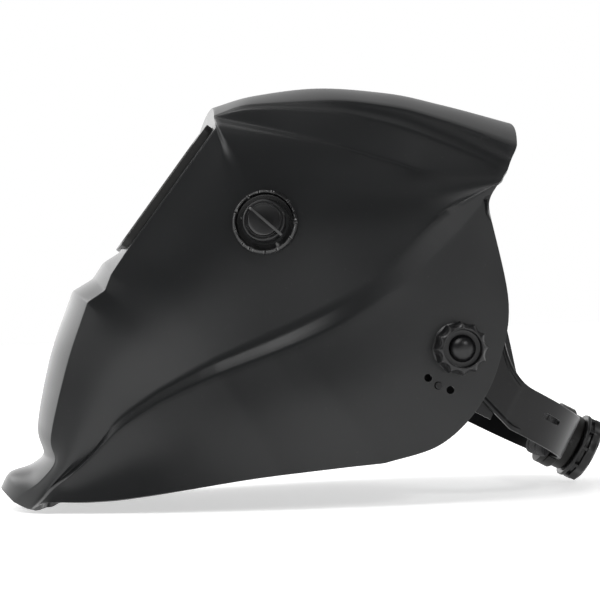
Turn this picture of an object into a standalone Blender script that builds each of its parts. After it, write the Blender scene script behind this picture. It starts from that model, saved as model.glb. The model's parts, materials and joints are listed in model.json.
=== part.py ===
"""Auto-darkening welding helmet: a moulded shell with its lens cartridge, an outside shade knob,
and a ratchet headgear that the shell swings on.

The helmet faces -Y and +Z is up. It stands as it is put down on a bench: on the corners of
its chin lip and on the rim of the ratchet knob behind. Lengths below are millimetres, and
each mesh is scaled to metres as its object is made.
"""
import math

import bmesh
import bpy
from mathutils import Matrix, Vector

MM = 0.001
GAP = 0.3                     # clearance between two pieces that touch
FOOTPRINT = Vector((0.0, -0.015, -4.803))   # middle of the assembled box's bottom, put at the origin

# Shell
SHELL_WALL = 2.6
PIVOT = Vector((0.0, 78.0, 84.0))      # where the swing axis crosses the middle plane
PIVOT_FACE = 105.8            # outer face of the pad that the tension knob bears on
PIVOT_PAD_RADIUS = 15.0
PIVOT_PAD_DEPTH = 4.4
PIVOT_HOLE_RADIUS = 4.7
TILT_HOLE_RADIUS = 2.3
TILT_HOLE_ORBIT = 24.3
TILT_HOLE_ANGLES = (222.0, 239.5, 257.0)

# Window, with the lens cartridge behind it
WINDOW_CENTRE = Vector((0.0, -82.0, 184.5))
WINDOW_LEAN = 37.7            # degrees that the window leans back from upright
WINDOW_SIZE = (118.0, 88.0)   # the opening through the shell
LENS_FRAME_FRONT = 2.4        # the trim frame stands proud of the shell
LENS_FRAME_BACK = -5.4
LENS_FRAME_BORDER = (9.0, 6.0)
LENS_SIZE = (109.4, 89.4)
HOLDER_WALL = 2.8
HOLDER_FRONT = -6.1           # depths run along the window's outward normal
COVER_LENS_THICKNESS = 1.2
CARTRIDGE_FRONT = -7.4
CARTRIDGE_DEPTH = 9.2
VIEW_SIZE = (92.0, 42.0)
VIEW_DROP = -9.0              # the view sits below the cartridge's middle
STRIP_RISE = 29.0             # the electronics strip sits above it
BATTERY_PLACE = (36.5, 28.5)
BATTERY_RADIUS = 12.25
DIAL_PLACES = {"sensitivity_dial": (-38.0, 29.0), "delay_dial": (-14.0, 29.0)}

# Shade control
SHADE_CENTRE = Vector((85.6, -28.0, 160.0))
SHADE_AXIS = Vector((0.962, -0.205, 0.180))
SHADE_PAD_RADIUS = 17.0
SHADE_PAD_RISE = 1.4
SHADE_RING_RADIUS = 18.8
SHADE_RING_BORE = 13.6
SHADE_KNOB_RADIUS = 12.2
BUSHING_RADIUS = 3.4

# Headgear: its loop lies in a plane that falls toward the back of the head
LOOP_CENTRE = Vector((0.0, 85.4, 64.1))
LOOP_PITCH = 29.0
LOOP_SIDE = 84.0
LOOP_FRONT = -92.0
LOOP_REAR = 81.0
BAND_HALF_WIDTH = 17.0       # at the forehead
SIDE_TOP = 28.0               # the side plates rise round the pivot bosses
SIDE_FOOT = -13.5
BAND_THICKNESS = 2.0
BAND_END = 23.0               # where the side plates stop behind the ears
BOSS_RADIUS = 13.0
BOSS_FACE = 97.2
STRAP_SIDE = 86.7
STRAP_HALF_WIDTH = 13.5
STRAP_START = 4.5
STRAP_BEND = 32.0
STRAP_TAIL = 28.0
STRAP_FLARE = 22.0            # how far its upper edge climbs toward the ear
STRAP_LIFT = 0.344            # slope of its lower edge there
STRAP_LAP = 2.4               # one strap laps over the other by this much
RIVET_PLACE = 8.6
SLOT_LENGTH = 18.0
SLOT_HEIGHT = 5.0
RIVET_HEIGHTS = (-4.0, 12.5)
CROWN_BASE = Vector((0.0, 101.4, 82.1))
CROWN_LEAN = 10.0
CROWN_SIDE = 81.3
CROWN_RISE = 100.0
CROWN_HALF_WIDTH = 12.0
CROWN_TAIL = 22.0
CROWN_REACH = 107.0           # degrees round its arch, so the halves overlap at the top

# Tension knobs and their bolts
KNOB_RADIUS = 15.6
KNOB_HEIGHT = 15.5
KNOB_LOBES = 12
BOLT_RADIUS = 3.9
NUT_RADIUS = 7.0

# Ratchet
RATCHET_RADIUS = 20.8
RATCHET_KNOB_DEPTH = 11.0
RATCHET_KNOB_FOOT = 13.6
RATCHET_FLANGE_RADIUS = 20.0
RATCHET_DRUM_RADIUS = 17.8
PINION_RADIUS = 5.2
PINION_TEETH = 10
AXLE_RADIUS = 2.9

MATERIALS = {
    "shell_black": ((0.022, 0.023, 0.024), 0.36, 0.0),
    "knob_black": ((0.018, 0.018, 0.019), 0.42, 0.0),
    "band_black": ((0.020, 0.020, 0.021), 0.48, 0.0),
    "housing_black": ((0.015, 0.015, 0.016), 0.50, 0.0),
    "cover_lens": ((0.60, 0.66, 0.64), 0.05, 0.0),
    "filter_glass": ((0.05, 0.16, 0.12), 0.04, 0.3),
    "lcd": ((0.03, 0.06, 0.03), 0.08, 0.0),
    "solar": ((0.03, 0.03, 0.09), 0.15, 0.2),
    "sensor": ((0.05, 0.02, 0.03), 0.10, 0.0),
    "board": ((0.02, 0.16, 0.06), 0.50, 0.0),
    "steel": ((0.60, 0.60, 0.61), 0.30, 1.0),
    "brass": ((0.65, 0.48, 0.20), 0.32, 1.0),
    "rubber": ((0.030, 0.030, 0.030), 0.80, 0.0),
    "sweatband": ((0.035, 0.035, 0.038), 0.95, 0.0),
}

# The shell's lines, each a list of (x, y, z) from the chin lip, over the face and the crown,
# to the back: x is to the wearer's left. Every list has one point at each of 17 stations:
# lip edge, lip crest, lip, throat, nose foot, nose, nose top, sill, sill crest, window foot,
# window head, brow, and five along the crown.
CENTRE_LINE = [
    (0, -187, 8.6), (0, -181.6, 17.2), (0, -168, 21.6), (0, -160.5, 29), (0, -163.6, 43),
    (0, -155.6, 82.5), (0, -139.5, 125.6), (0, -127, 132.6), (0, -120.2, 142.2),
    (0, -110.6, 147.8), (0, -53.6, 221.8), (0, -51.8, 233.5), (0, -26, 240.2), (0, 12.5, 244),
    (0, 55, 240), (0, 90.5, 231.4), (0, 130, 219.6),
]
FACE_EDGE = [
    (27, -179, 1.2), (31.5, -172.5, 6.8), (38, -163, 14), (45, -153.6, 27), (45, -155.8, 38),
    (49, -144.7, 82), (57, -131.3, 118.5), (59, -121, 125), (60.5, -117, 134.4),
    (62, -108.3, 146.6), (64, -52.8, 217.8), (64, -54, 224.6), (64, -31.7, 230.5),
    (66, 12, 231.3), (69, 52, 226), (74, 80, 217), (86, 121, 199.5),
]
LEDGE_FOOT = [
    (30.5, -176.3, -0.4), (34.5, -170, 5), (40.5, -161.2, 12.6), (47.5, -151.8, 26),
    (47.5, -154, 37.4), (51.5, -143, 81), (59.5, -129.4, 117.5), (61.5, -119.3, 123.8),
    (62.9, -114.9, 133.4), (64.5, -106.3, 145.2), (66.3, -50.8, 216.3), (66.3, -52, 223),
    (67.5, -30, 228), (71, 10.5, 225.2), (77, 49, 215.8), (82, 75, 205.2), (91, 114, 186),
]
BROW_LINE = [
    (34, -173, -1.6), (38, -166.8, 3.6), (43.5, -158.6, 11), (51, -148.5, 24), (51.5, -150, 36),
    (55.5, -139.8, 79.5), (63.5, -125.5, 115.5), (66, -115, 121.5), (67.6, -110, 131),
    (69.5, -101.5, 142), (70, -47, 213), (69.5, -44, 217), (75.5, -21.5, 212),
    (81.5, 13.5, 203.3), (87.5, 47, 192), (91.5, 74, 184), (95, 110.5, 182),
]
PANEL_LINE = [
    (36.5, -170.8, -2.2), (40, -165, 3), (43.6, -157.6, 10.6), (50.5, -148, 21), (53.5, -142, 32.5),
    (59, -128, 63), (68.5, -109, 90), (72.5, -96, 99), (75, -88.5, 106), (78, -79, 114),
    (84, -37, 155), (86, -28, 160), (90.5, -8, 161), (95, 20, 163), (99, 47, 166),
    (100, 73, 174), (97, 108.5, 179.5),
]
SWOOSH_TOP = [
    (38.5, -168.8, -2.2), (41.2, -163.2, 3.2), (43.8, -156, 11.6), (47, -148, 18), (51, -134, 29),
    (57, -117, 46), (65, -95, 62.5), (71, -78, 73), (73.5, -70, 77.8), (76, -61, 83),
    (85, -31, 94.5), (88, -19, 99.5), (92, 0, 108), (98, 24, 121), (102, 48, 139.5),
    (103, 73, 164), (98, 106.5, 177.5),
]
SWOOSH_FOOT = [
    (41, -166.8, -1.6), (43.5, -161.5, 3), (46.4, -154.6, 10), (50, -146.5, 16), (54, -133, 28),
    (61, -115, 44.5), (69, -93, 59), (76, -76, 67), (79, -68, 70.4), (82, -59, 74),
    (91, -29, 84.5), (94, -17, 89), (98, 2, 96.5), (101, 26, 108.5), (103, 52, 125.5),
    (102, 78, 148), (98, 104, 174),
]
CHEEK_LINE = [
    (43.5, -164, 0), (46.3, -158, 2.6), (49.4, -151.2, 5.6), (53, -142.5, 9), (59, -127, 16),
    (67, -106.5, 25.5), (77, -83, 34.5), (85, -62, 40), (88.5, -51.5, 42.4), (92, -40, 45),
    (99, -8, 52), (102, 8, 55), (104.2, 32, 62), (105, 56, 77), (105, 77, 99),
    (103.9, 92.6, 127), (98.6, 101, 170),
]
RIM_LINE = [
    (46, -160.5, 1.5), (48.5, -154.5, 1.9), (51, -148, 2.4), (54, -139, 3), (60, -122, 4.4),
    (69, -100, 7), (79, -74, 10.4), (87, -50, 13.4), (90.5, -37.5, 14.8), (94, -24, 16),
    (101, 12, 18.5), (104, 33, 20), (105.2, 62, 27.5), (105.6, 86, 46.5), (105.4, 101, 73),
    (104.5, 108.6, 108), (99, 99.5, 167.5),
]
STEPS_PER_STATION = 2


# ---------------------------------------------------------------- scene and materials

def clear_scene():
    for old in list(bpy.data.objects):
        bpy.data.objects.remove(old, do_unlink=True)
    for mesh in list(bpy.data.meshes):
        bpy.data.meshes.remove(mesh)


def make_material(name):
    colour, roughness, metallic = MATERIALS[name]
    material = bpy.data.materials.get(name)
    if material is None:
        material = bpy.data.materials.new(name)
        material.use_nodes = True
        shader = material.node_tree.nodes["Principled BSDF"]
        shader.inputs["Base Color"].default_value = (*colour, 1.0)
        shader.inputs["Roughness"].default_value = roughness
        shader.inputs["Metallic"].default_value = metallic
        material.diffuse_color = (*colour, 1.0)
    return material


def as_mesh(bm, name="piece"):
    """Close a bmesh off as mesh data with its faces pointing out."""
    bmesh.ops.recalc_face_normals(bm, faces=bm.faces[:])
    mesh = bpy.data.meshes.new(name)
    bm.to_mesh(mesh)
    bm.free()
    return mesh


def combine(base, adds=(), cuts=()):
    """Join the added meshes to the base, then take the cutting meshes away from it."""
    holder = bpy.data.objects.new("combining", base)
    bpy.context.collection.objects.link(holder)
    tools = []
    for operation, meshes in (("UNION", adds), ("DIFFERENCE", cuts)):
        for mesh in meshes:
            tool = bpy.data.objects.new("combining_tool", mesh)
            bpy.context.collection.objects.link(tool)
            step = holder.modifiers.new(operation.lower(), "BOOLEAN")
            step.operation = operation
            step.solver = "EXACT"
            step.object = tool
            tools.append(tool)
    bpy.context.view_layer.update()
    graph = bpy.context.evaluated_depsgraph_get()
    result = bpy.data.meshes.new_from_object(holder.evaluated_get(graph))
    for used in (holder, *tools):
        bpy.data.objects.remove(used, do_unlink=True)
    return result


def add_piece(name, mesh, material, frame=None, sharp=35.0):
    """Make the named object: the mesh comes in millimetres, in the frame's own axes."""
    if frame is None:
        mesh.transform(Matrix.Translation(-FOOTPRINT))
    mesh.transform(Matrix.Scale(MM, 4))
    mesh.name = name
    mesh.materials.clear()
    mesh.materials.append(make_material(material))
    mesh.shade_smooth()
    mesh.set_sharp_from_angle(angle=math.radians(sharp))
    piece = bpy.data.objects.new(name, mesh)
    bpy.context.collection.objects.link(piece)
    if frame is not None:
        turn = frame.to_3x3().to_4x4()
        origin = (frame.to_translation() - FOOTPRINT) * MM
        piece.matrix_world = Matrix.Translation(origin) @ turn
    return piece


# ---------------------------------------------------------------- basic shapes

def circle(radius, count, centre=(0.0, 0.0), start=0.0):
    points = []
    for i in range(count):
        angle = start + 2.0 * math.pi * i / count
        points.append((centre[0] + radius * math.cos(angle), centre[1] + radius * math.sin(angle)))
    return points


def rounded_box(width, height, radius, centre=(0.0, 0.0), steps=3):
    points = []
    corners = ((1, 1, 0), (-1, 1, 90), (-1, -1, 180), (1, -1, 270))
    for side_x, side_y, first in corners:
        cx = centre[0] + side_x * (width / 2 - radius)
        cy = centre[1] + side_y * (height / 2 - radius)
        for i in range(steps + 1):
            angle = math.radians(first + 90.0 * i / steps)
            points.append((cx + radius * math.cos(angle), cy + radius * math.sin(angle)))
    return points


def slab(loops, low, high):
    """Extrude an outline, the first loop, with the other loops as holes through it."""
    bm = bmesh.new()
    edges = []
    for loop in loops:
        verts = [bm.verts.new((x, y, low)) for x, y in loop]
        for i, vert in enumerate(verts):
            edges.append(bm.edges.new((vert, verts[(i + 1) % len(verts)])))
    bmesh.ops.triangle_fill(bm, edges=edges, use_beauty=True)
    grown = bmesh.ops.extrude_face_region(bm, geom=bm.faces[:])
    raised = [item for item in grown["geom"] if isinstance(item, bmesh.types.BMVert)]
    bmesh.ops.translate(bm, verts=raised, vec=(0.0, 0.0, high - low))
    return as_mesh(bm)


def turned(profile, count):
    """Turn a closed (radius, height) outline about Z; radii of zero close on the axis."""
    bm = bmesh.new()
    rings = []
    for radius, height in profile:
        if radius < 1e-6:
            rings.append([bm.verts.new((0.0, 0.0, height))])
        else:
            rings.append([bm.verts.new((x, y, height)) for x, y in circle(radius, count)])
    for lower, upper in zip(rings, rings[1:] + rings[:1]):
        if len(lower) == 1 and len(upper) == 1:
            continue
        for i in range(count):
            j = (i + 1) % count
            quad = [lower[i % len(lower)], lower[j % len(lower)],
                    upper[j % len(upper)], upper[i % len(upper)]]
            face = []
            for vert in quad:
                if vert not in face:
                    face.append(vert)
            bm.faces.new(face)
    return as_mesh(bm)


def moved(mesh, matrix):
    mesh.transform(matrix)
    if matrix.determinant() < 0.0:
        mesh.flip_normals()
    return mesh


def shifted(mesh, x=0.0, y=0.0, z=0.0):
    return moved(mesh, Matrix.Translation((x, y, z)))


def frame_from(origin, x_axis, z_axis):
    """A placement whose Z runs along z_axis and whose X lies nearest to x_axis."""
    z = Vector(z_axis).normalized()
    y = z.cross(Vector(x_axis)).normalized()
    x = y.cross(z)
    matrix = Matrix((x, y, z)).transposed().to_4x4()
    matrix.translation = origin
    return matrix


# ---------------------------------------------------------------- placements

def window_frame():
    """X to the wearer's left, Y up along the window, Z out of it."""
    lean = math.radians(WINDOW_LEAN)
    outward = Vector((0.0, -math.cos(lean), math.sin(lean)))
    return frame_from(WINDOW_CENTRE, (1.0, 0.0, 0.0), outward)


def shade_frame():
    return frame_from(SHADE_CENTRE, (0.0, 1.0, 0.0), SHADE_AXIS)


def pivot_frame(side):
    """Z runs out along the swing axis on that side; the origin is on the pad's face."""
    origin = Vector((side * PIVOT_FACE, PIVOT.y, PIVOT.z))
    return frame_from(origin, (0.0, 1.0, 0.0), (side, 0.0, 0.0))


def loop_frame():
    """X to the wearer's left, Y toward the back along the falling loop, Z up from it."""
    pitch = math.radians(LOOP_PITCH)
    up = Vector((0.0, math.sin(pitch), math.cos(pitch)))
    return frame_from(LOOP_CENTRE, (1.0, 0.0, 0.0), up)


def ratchet_frame():
    """Z runs out of the back of the head along the ratchet's axle."""
    loop = loop_frame()
    origin = loop @ Vector((0.0, LOOP_REAR, 0.0))
    back = loop.to_3x3() @ Vector((0.0, 1.0, 0.0))
    return frame_from(origin, (1.0, 0.0, 0.0), back)


# ---------------------------------------------------------------- shell

def slopes_through(values):
    """Slopes at evenly spaced values for a curve that never overshoots them."""
    steps = [b - a for a, b in zip(values, values[1:])]
    slopes = [steps[0]]
    for before, after in zip(steps, steps[1:]):
        if before * after <= 0.0:
            slopes.append(0.0)
        else:
            slopes.append(2.0 * before * after / (before + after))
    slopes.append(steps[-1])
    return slopes


def curve_at(values, slopes, place):
    """The height of that curve at a place counted in stations."""
    i = min(int(place), len(values) - 2)
    t = place - i
    a, b = values[i], values[i + 1]
    start = (2 * t**3 - 3 * t**2 + 1) * a + (t**3 - 2 * t**2 + t) * slopes[i]
    end = (-2 * t**3 + 3 * t**2) * b + (t**3 - t**2) * slopes[i + 1]
    return start + end


def resample(line, places):
    columns = list(zip(*line))
    curves = [(values, slopes_through(values)) for values in columns]
    return [Vector([curve_at(values, slopes, place) for values, slopes in curves])
            for place in places]


def crown_strip(centre, edge, count):
    """Points from the middle plane to the face edge, level where they leave the middle."""
    points = []
    for i in range(count):
        t = i / count
        fall = t**2.4
        points.append(Vector((edge.x * t, centre.y + (edge.y - centre.y) * fall,
                              centre.z + (edge.z - centre.z) * fall)))
    return points


def through(points, counts):
    """A smooth run through the given points, with so many steps between each two."""
    columns = list(zip(*points))
    curves = [(values, slopes_through(values)) for values in columns]
    run = []
    for i, count in enumerate(counts):
        for j in range(count):
            place = i + j / count
            run.append(Vector([curve_at(values, slopes, place) for values, slopes in curves]))
    return run


def shell_section(lines, index):
    """One cross line of the left half, from the middle plane round to the rim."""
    centre, edge, foot, brow, panel, top, swoosh, cheek, rim = [line[index] for line in lines]
    section = crown_strip(centre, edge, 4)
    section += [edge]
    section += through([foot, brow, panel, top], (2, 2, 2))
    section += [top]
    section += through([swoosh, cheek, rim], (3, 3))
    section.append(rim)
    return section


def shell_half_sections():
    lines = (CENTRE_LINE, FACE_EDGE, LEDGE_FOOT, BROW_LINE, PANEL_LINE, SWOOSH_TOP, SWOOSH_FOOT,
             CHEEK_LINE, RIM_LINE)
    stations = len(CENTRE_LINE) - 1
    places = [i / STEPS_PER_STATION for i in range(stations * STEPS_PER_STATION + 1)]
    dense = [resample(line, places) for line in lines]
    return [shell_section(dense, index) for index in range(len(places))]


def shell_wall_mesh():
    """The whole shell wall: the left half, its mirror, and an inner skin joined at the edges."""
    half = shell_half_sections()
    bm = bmesh.new()
    grid = []
    for section in half:
        right = [bm.verts.new((-p.x, p.y, p.z)) for p in reversed(section[1:])]
        left = [bm.verts.new(p) for p in section]
        grid.append(right + left)
    for here, ahead in zip(grid, grid[1:]):
        for i in range(len(here) - 1):
            bm.faces.new((here[i], here[i + 1], ahead[i + 1], ahead[i]))
    bm.normal_update()
    outward = sum((face.normal.dot(face.calc_center_median() - Vector((0.0, 0.0, 110.0)))
                   for face in bm.faces), 0.0)
    if outward < 0.0:
        bmesh.ops.reverse_faces(bm, faces=bm.faces[:])
    mesh = bpy.data.meshes.new("shell_skin")
    bm.to_mesh(mesh)
    bm.free()
    skin = bpy.data.objects.new("shell_skin", mesh)
    bpy.context.collection.objects.link(skin)
    wall = skin.modifiers.new("wall", "SOLIDIFY")
    wall.thickness = SHELL_WALL
    wall.offset = -1.0
    wall.use_even_offset = False
    wall.use_quality_normals = True
    bpy.context.view_layer.update()
    graph = bpy.context.evaluated_depsgraph_get()
    result = bpy.data.meshes.new_from_object(skin.evaluated_get(graph))
    bpy.data.objects.remove(skin, do_unlink=True)
    return result


def tilt_hole_place(angle):
    """A tilt hole's (along Y, up) offset from the swing axis."""
    turn = math.radians(angle)
    return TILT_HOLE_ORBIT * math.cos(turn), TILT_HOLE_ORBIT * math.sin(turn)


def along_x(mesh, side, start, y, z):
    """Lay a mesh built along Z out along the side's X, starting at the given x."""
    frame = frame_from(Vector((side * start, y, z)), (0.0, 1.0, 0.0), (side, 0.0, 0.0))
    return moved(mesh, frame)


def build_shell():
    adds = []
    cuts = []
    window = rounded_box(*WINDOW_SIZE, radius=7.0)
    cuts.append(moved(slab([window], -24.0, 24.0), window_frame()))
    seat = slab([circle(SHADE_PAD_RADIUS, 36)], -2.0, SHADE_PAD_RISE)
    adds.append(moved(seat, shade_frame()))
    cuts.append(moved(slab([circle(BUSHING_RADIUS + 0.5, 20)], -14.0, 14.0), shade_frame()))
    for side in (1, -1):
        pad = turned([(0, 0), (PIVOT_PAD_RADIUS, 0), (PIVOT_PAD_RADIUS, PIVOT_PAD_DEPTH - 1),
                      (PIVOT_PAD_RADIUS - 1, PIVOT_PAD_DEPTH), (0, PIVOT_PAD_DEPTH)], 40)
        adds.append(along_x(pad, side, PIVOT_FACE - PIVOT_PAD_DEPTH, PIVOT.y, PIVOT.z))
        hole = slab([circle(PIVOT_HOLE_RADIUS, 24)], 0.0, 24.0)
        cuts.append(along_x(hole, side, PIVOT_FACE - 12.0, PIVOT.y, PIVOT.z))
        for angle in TILT_HOLE_ANGLES:
            dy, dz = tilt_hole_place(angle)
            hole = slab([circle(TILT_HOLE_RADIUS, 12)], 0.0, 24.0)
            cuts.append(along_x(hole, side, PIVOT_FACE - 12.0, PIVOT.y + dy, PIVOT.z + dz))
    add_piece("helmet_shell", combine(shell_wall_mesh(), adds, cuts), "shell_black", sharp=28.0)


# ---------------------------------------------------------------- lens stack

def build_lens_frame():
    """The trim frame that fills the window and borders the cover lens."""
    width, height = WINDOW_SIZE[0] - 2 * GAP, WINDOW_SIZE[1] - 2 * GAP
    view = (width - 2 * LENS_FRAME_BORDER[0], height - 2 * LENS_FRAME_BORDER[1])
    body = slab([rounded_box(width, height, 6.7), rounded_box(*view, 5.0)],
                LENS_FRAME_BACK, LENS_FRAME_FRONT)
    step = slab([rounded_box(view[0] + 5.0, view[1] + 4.0, 6.0)],
                LENS_FRAME_FRONT - 1.6, LENS_FRAME_FRONT + 1.0)
    add_piece("front_lens_frame", combine(body, cuts=[step]), "housing_black", window_frame())


def build_holder():
    """The frame behind the window that the cover lens and the cartridge sit in."""
    width, height = LENS_SIZE
    outer = rounded_box(width + 2 * (GAP + HOLDER_WALL), height + 2 * (GAP + HOLDER_WALL), 4.0)
    inner = rounded_box(width + 2 * GAP, height + 2 * GAP, 2.5)
    back = CARTRIDGE_FRONT - CARTRIDGE_DEPTH
    body = slab([outer, inner], back - 0.3, HOLDER_FRONT)
    edge = height / 2 + GAP + HOLDER_WALL
    adds = []
    hook_post = slab([rounded_box(30.0, HOLDER_WALL, 0.8, (0.0, edge - HOLDER_WALL / 2))],
                     back - 3.4, back)
    hook_cap = slab([rounded_box(30.0, 5.4, 0.8, (0.0, edge - 2.7))], back - 3.4, back - 0.5)
    adds += [hook_post, hook_cap]
    for side in (-1, 1):
        post = slab([rounded_box(4.0, HOLDER_WALL, 0.8, (side * 42.5, HOLDER_WALL / 2 - edge))],
                    back - 5.6, back)
        cap = slab([rounded_box(10.0, 8.0, 0.8, (side * 39.5, 4.0 - edge))],
                   back - 5.6, back - 3.4)
        adds += [post, cap]
    add_piece("cartridge_holder", combine(body, adds), "housing_black", window_frame())
    latch = slab([rounded_box(80.0, 6.6, 1.5, (0.0, 6.9 - edge))], back - 3.1, back - 0.9)
    tab = slab([rounded_box(22.0, 2.4, 0.8, (0.0, 6.9 - edge))], back - 6.2, back - 3.0)
    add_piece("holder_latch", combine(latch, [tab]), "knob_black", window_frame())


def build_lens_stack():
    place = window_frame()
    width, height = LENS_SIZE
    front = CARTRIDGE_FRONT
    back = front - CARTRIDGE_DEPTH
    view = rounded_box(*VIEW_SIZE, radius=2.0, centre=(0.0, VIEW_DROP))
    cover_top = CARTRIDGE_FRONT + 0.4 + COVER_LENS_THICKNESS
    add_piece("front_cover_lens", slab([rounded_box(width, height, 2.5)],
                                       CARTRIDGE_FRONT + 0.4, cover_top), "cover_lens", place)

    case = rounded_box(width, height, 2.5)
    solar = rounded_box(70.0, 12.0, 1.0, (0.0, STRIP_RISE + 2.0))
    eyes = [circle(3.0, 16, (x, STRIP_RISE + 2.0)) for x in (-46.0, 46.0)]
    face = slab([case, view, solar, *eyes], front - 2.0, front)
    skirt = slab([case, rounded_box(width - 4.0, height - 4.0, 1.5)], front - 5.6, front - 1.0)
    add_piece("cartridge_front_housing", combine(face, [skirt]), "housing_black", place)

    glass = rounded_box(VIEW_SIZE[0] + 6.0, VIEW_SIZE[1] + 6.0, 1.0, (0.0, VIEW_DROP))
    add_piece("uv_ir_filter_glass", slab([glass], front - 3.3, front - 2.3), "filter_glass", place)
    add_piece("lcd_shutter", slab([glass], front - 5.6, front - 3.6), "lcd", place)
    cell = rounded_box(76.0, 16.0, 1.0, (0.0, STRIP_RISE + 2.0))
    add_piece("solar_panel", slab([cell], front - 3.1, front - 2.3), "solar", place)
    for name, x in (("arc_sensor_left", 46.0), ("arc_sensor_right", -46.0)):
        eye = turned([(0, 0), (2.7, 0), (2.7, 2.4), (1.6, 2.9), (0, 3.0)], 16)
        add_piece(name, shifted(eye, x, STRIP_RISE + 2.0, front - 3.5), "sensor", place)
    board = rounded_box(70.0, 24.0, 1.0, (-16.0, STRIP_RISE + 1.0))
    add_piece("circuit_board", slab([board], front - 5.2, front - 4.0), "board", place)

    wells = [circle(1.9, 12, spot) for spot in DIAL_PLACES.values()]
    cell_well = circle(BATTERY_RADIUS + 0.35, 28, BATTERY_PLACE)
    rear = slab([case, view, cell_well, *wells], back, front - 5.9)
    add_piece("cartridge_rear_cover", rear, "housing_black", place)
    cell = turned([(0, 0), (BATTERY_RADIUS - 0.4, 0), (BATTERY_RADIUS, 0.4),
                   (BATTERY_RADIUS, 4.2), (0, 4.2)], 28)
    add_piece("coin_battery", shifted(cell, *BATTERY_PLACE, back + 0.1), "steel", place)
    door = slab([rounded_box(28.0, 26.6, 2.0, BATTERY_PLACE)], back - 1.8, back - 0.3)
    ribs = [slab([rounded_box(1.4, 16.0, 0.6, (BATTERY_PLACE[0] + x, BATTERY_PLACE[1]))],
                 back - 2.5, back - 1.7) for x in (-9.0, -6.0)]
    add_piece("battery_door", combine(door, ribs), "knob_black", place)
    for name, (x, y) in DIAL_PLACES.items():
        dial = turned([(0, 3.7), (1.6, 3.7), (1.6, -0.3), (6.3, -0.3), (6.3, -3.2), (5.6, -3.7),
                       (0, -3.7)], 24)
        pointer = slab([rounded_box(1.2, 6.5, 0.5, (0.0, 3.0))], -5.0, -3.0)
        spot = place @ Matrix.Translation((x, y, back))
        add_piece(name, combine(dial, cuts=[pointer]), "knob_black", spot)
    inner = rounded_box(VIEW_SIZE[0] + 8.0, VIEW_SIZE[1] + 3.6, 1.5, (0.0, VIEW_DROP))
    add_piece("inner_cover_lens", slab([inner], back - 1.3, back - 0.3), "cover_lens", place)


# ---------------------------------------------------------------- shade control

def build_shade_control():
    place = shade_frame()
    foot = SHADE_PAD_RISE + GAP
    ring = slab([circle(SHADE_RING_RADIUS, 60), circle(SHADE_RING_BORE, 40)], foot, foot + 3.6)
    notches = []
    for i in range(12):
        angle = 2.0 * math.pi * i / 12
        notch = slab([rounded_box(1.5, 3.2, 0.4, (SHADE_RING_RADIUS, 0.0), 2)], foot + 1.4, 9.0)
        notches.append(moved(notch, Matrix.Rotation(angle, 4, "Z")))
    add_piece("shade_knob_bezel", combine(ring, cuts=notches), "knob_black", place)

    radius = SHADE_KNOB_RADIUS
    cap = turned([(0, 8.5), (0, 4.6), (7.4, 4.6), (7.4, foot), (radius, foot), (radius, 8.0),
                  (radius - 1.2, 9.0), (9.9, 9.0), (9.6, 8.5)], 48)
    grip = slab([rounded_box(2 * radius + 1.6, 4.6, 1.6)], 7.5, 13.0)
    turn = Matrix.Rotation(math.radians(-45.0), 4, "Z")
    stem = shifted(slab([circle(1.9, 16)], 0.0, 9.6), z=-4.0)
    knob = combine(cap, [moved(grip, turn), stem])
    add_piece("shade_knob", knob, "knob_black", place)

    bore = 2.2
    body = slab([rounded_box(16.5, 16.5, 1.0)], -13.5, -5.6)
    bushing = turned([(bore, -8.0), (BUSHING_RADIUS, -8.0), (BUSHING_RADIUS, 3.9), (bore, 3.9)], 20)
    well = slab([circle(bore, 20)], -8.0, 0.0)
    gland = shifted(slab([circle(2.4, 12)], 0.0, 4.0), y=0.0)
    gland = moved(gland, Matrix.Translation((0.0, -7.5, -9.5)) @ Matrix.Rotation(math.pi / 2, 4, "X"))
    add_piece("shade_potentiometer", combine(body, [bushing, gland], [well]), "steel", place)
    nut = slab([circle(5.4, 6), circle(BUSHING_RADIUS + GAP, 20)], foot, foot + 2.0)
    add_piece("potentiometer_nut", nut, "brass", place)


# ---------------------------------------------------------------- pivots

def scalloped(radius, depth, lobes, per_lobe=4):
    """An outline of points with a hollow scooped between each two."""
    points = []
    for i in range(lobes * per_lobe):
        share = (i % per_lobe) / per_lobe
        scoop = depth * math.sin(math.pi * share)
        angle = 2.0 * math.pi * i / (lobes * per_lobe)
        points.append(((radius - scoop) * math.cos(angle), (radius - scoop) * math.sin(angle)))
    return points


def build_tension_knob(name, place):
    body = slab([scalloped(KNOB_RADIUS, 1.5, KNOB_LOBES)], 0.4, KNOB_HEIGHT - 2.0)
    crown = turned([(0, 2.0), (14.0, 2.0), (13.2, KNOB_HEIGHT - 0.4), (12.4, KNOB_HEIGHT),
                    (11.4, KNOB_HEIGHT), (11.4, 11.0), (7.6, 11.0), (7.4, KNOB_HEIGHT),
                    (5.6, KNOB_HEIGHT + 1.2), (0, KNOB_HEIGHT + 1.6)], 40)
    groove = turned([(7.6, 11.0), (11.4, 11.0), (11.4, KNOB_HEIGHT), (7.5, KNOB_HEIGHT)], 40)
    pocket = slab([circle(NUT_RADIUS + GAP, 6)], -1.0, 6.6)
    bore = slab([circle(BOLT_RADIUS + GAP, 20)], -1.0, 9.6)
    knob = combine(body, [crown], [groove, pocket, bore])
    add_piece(name, knob, "knob_black", place)


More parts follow.
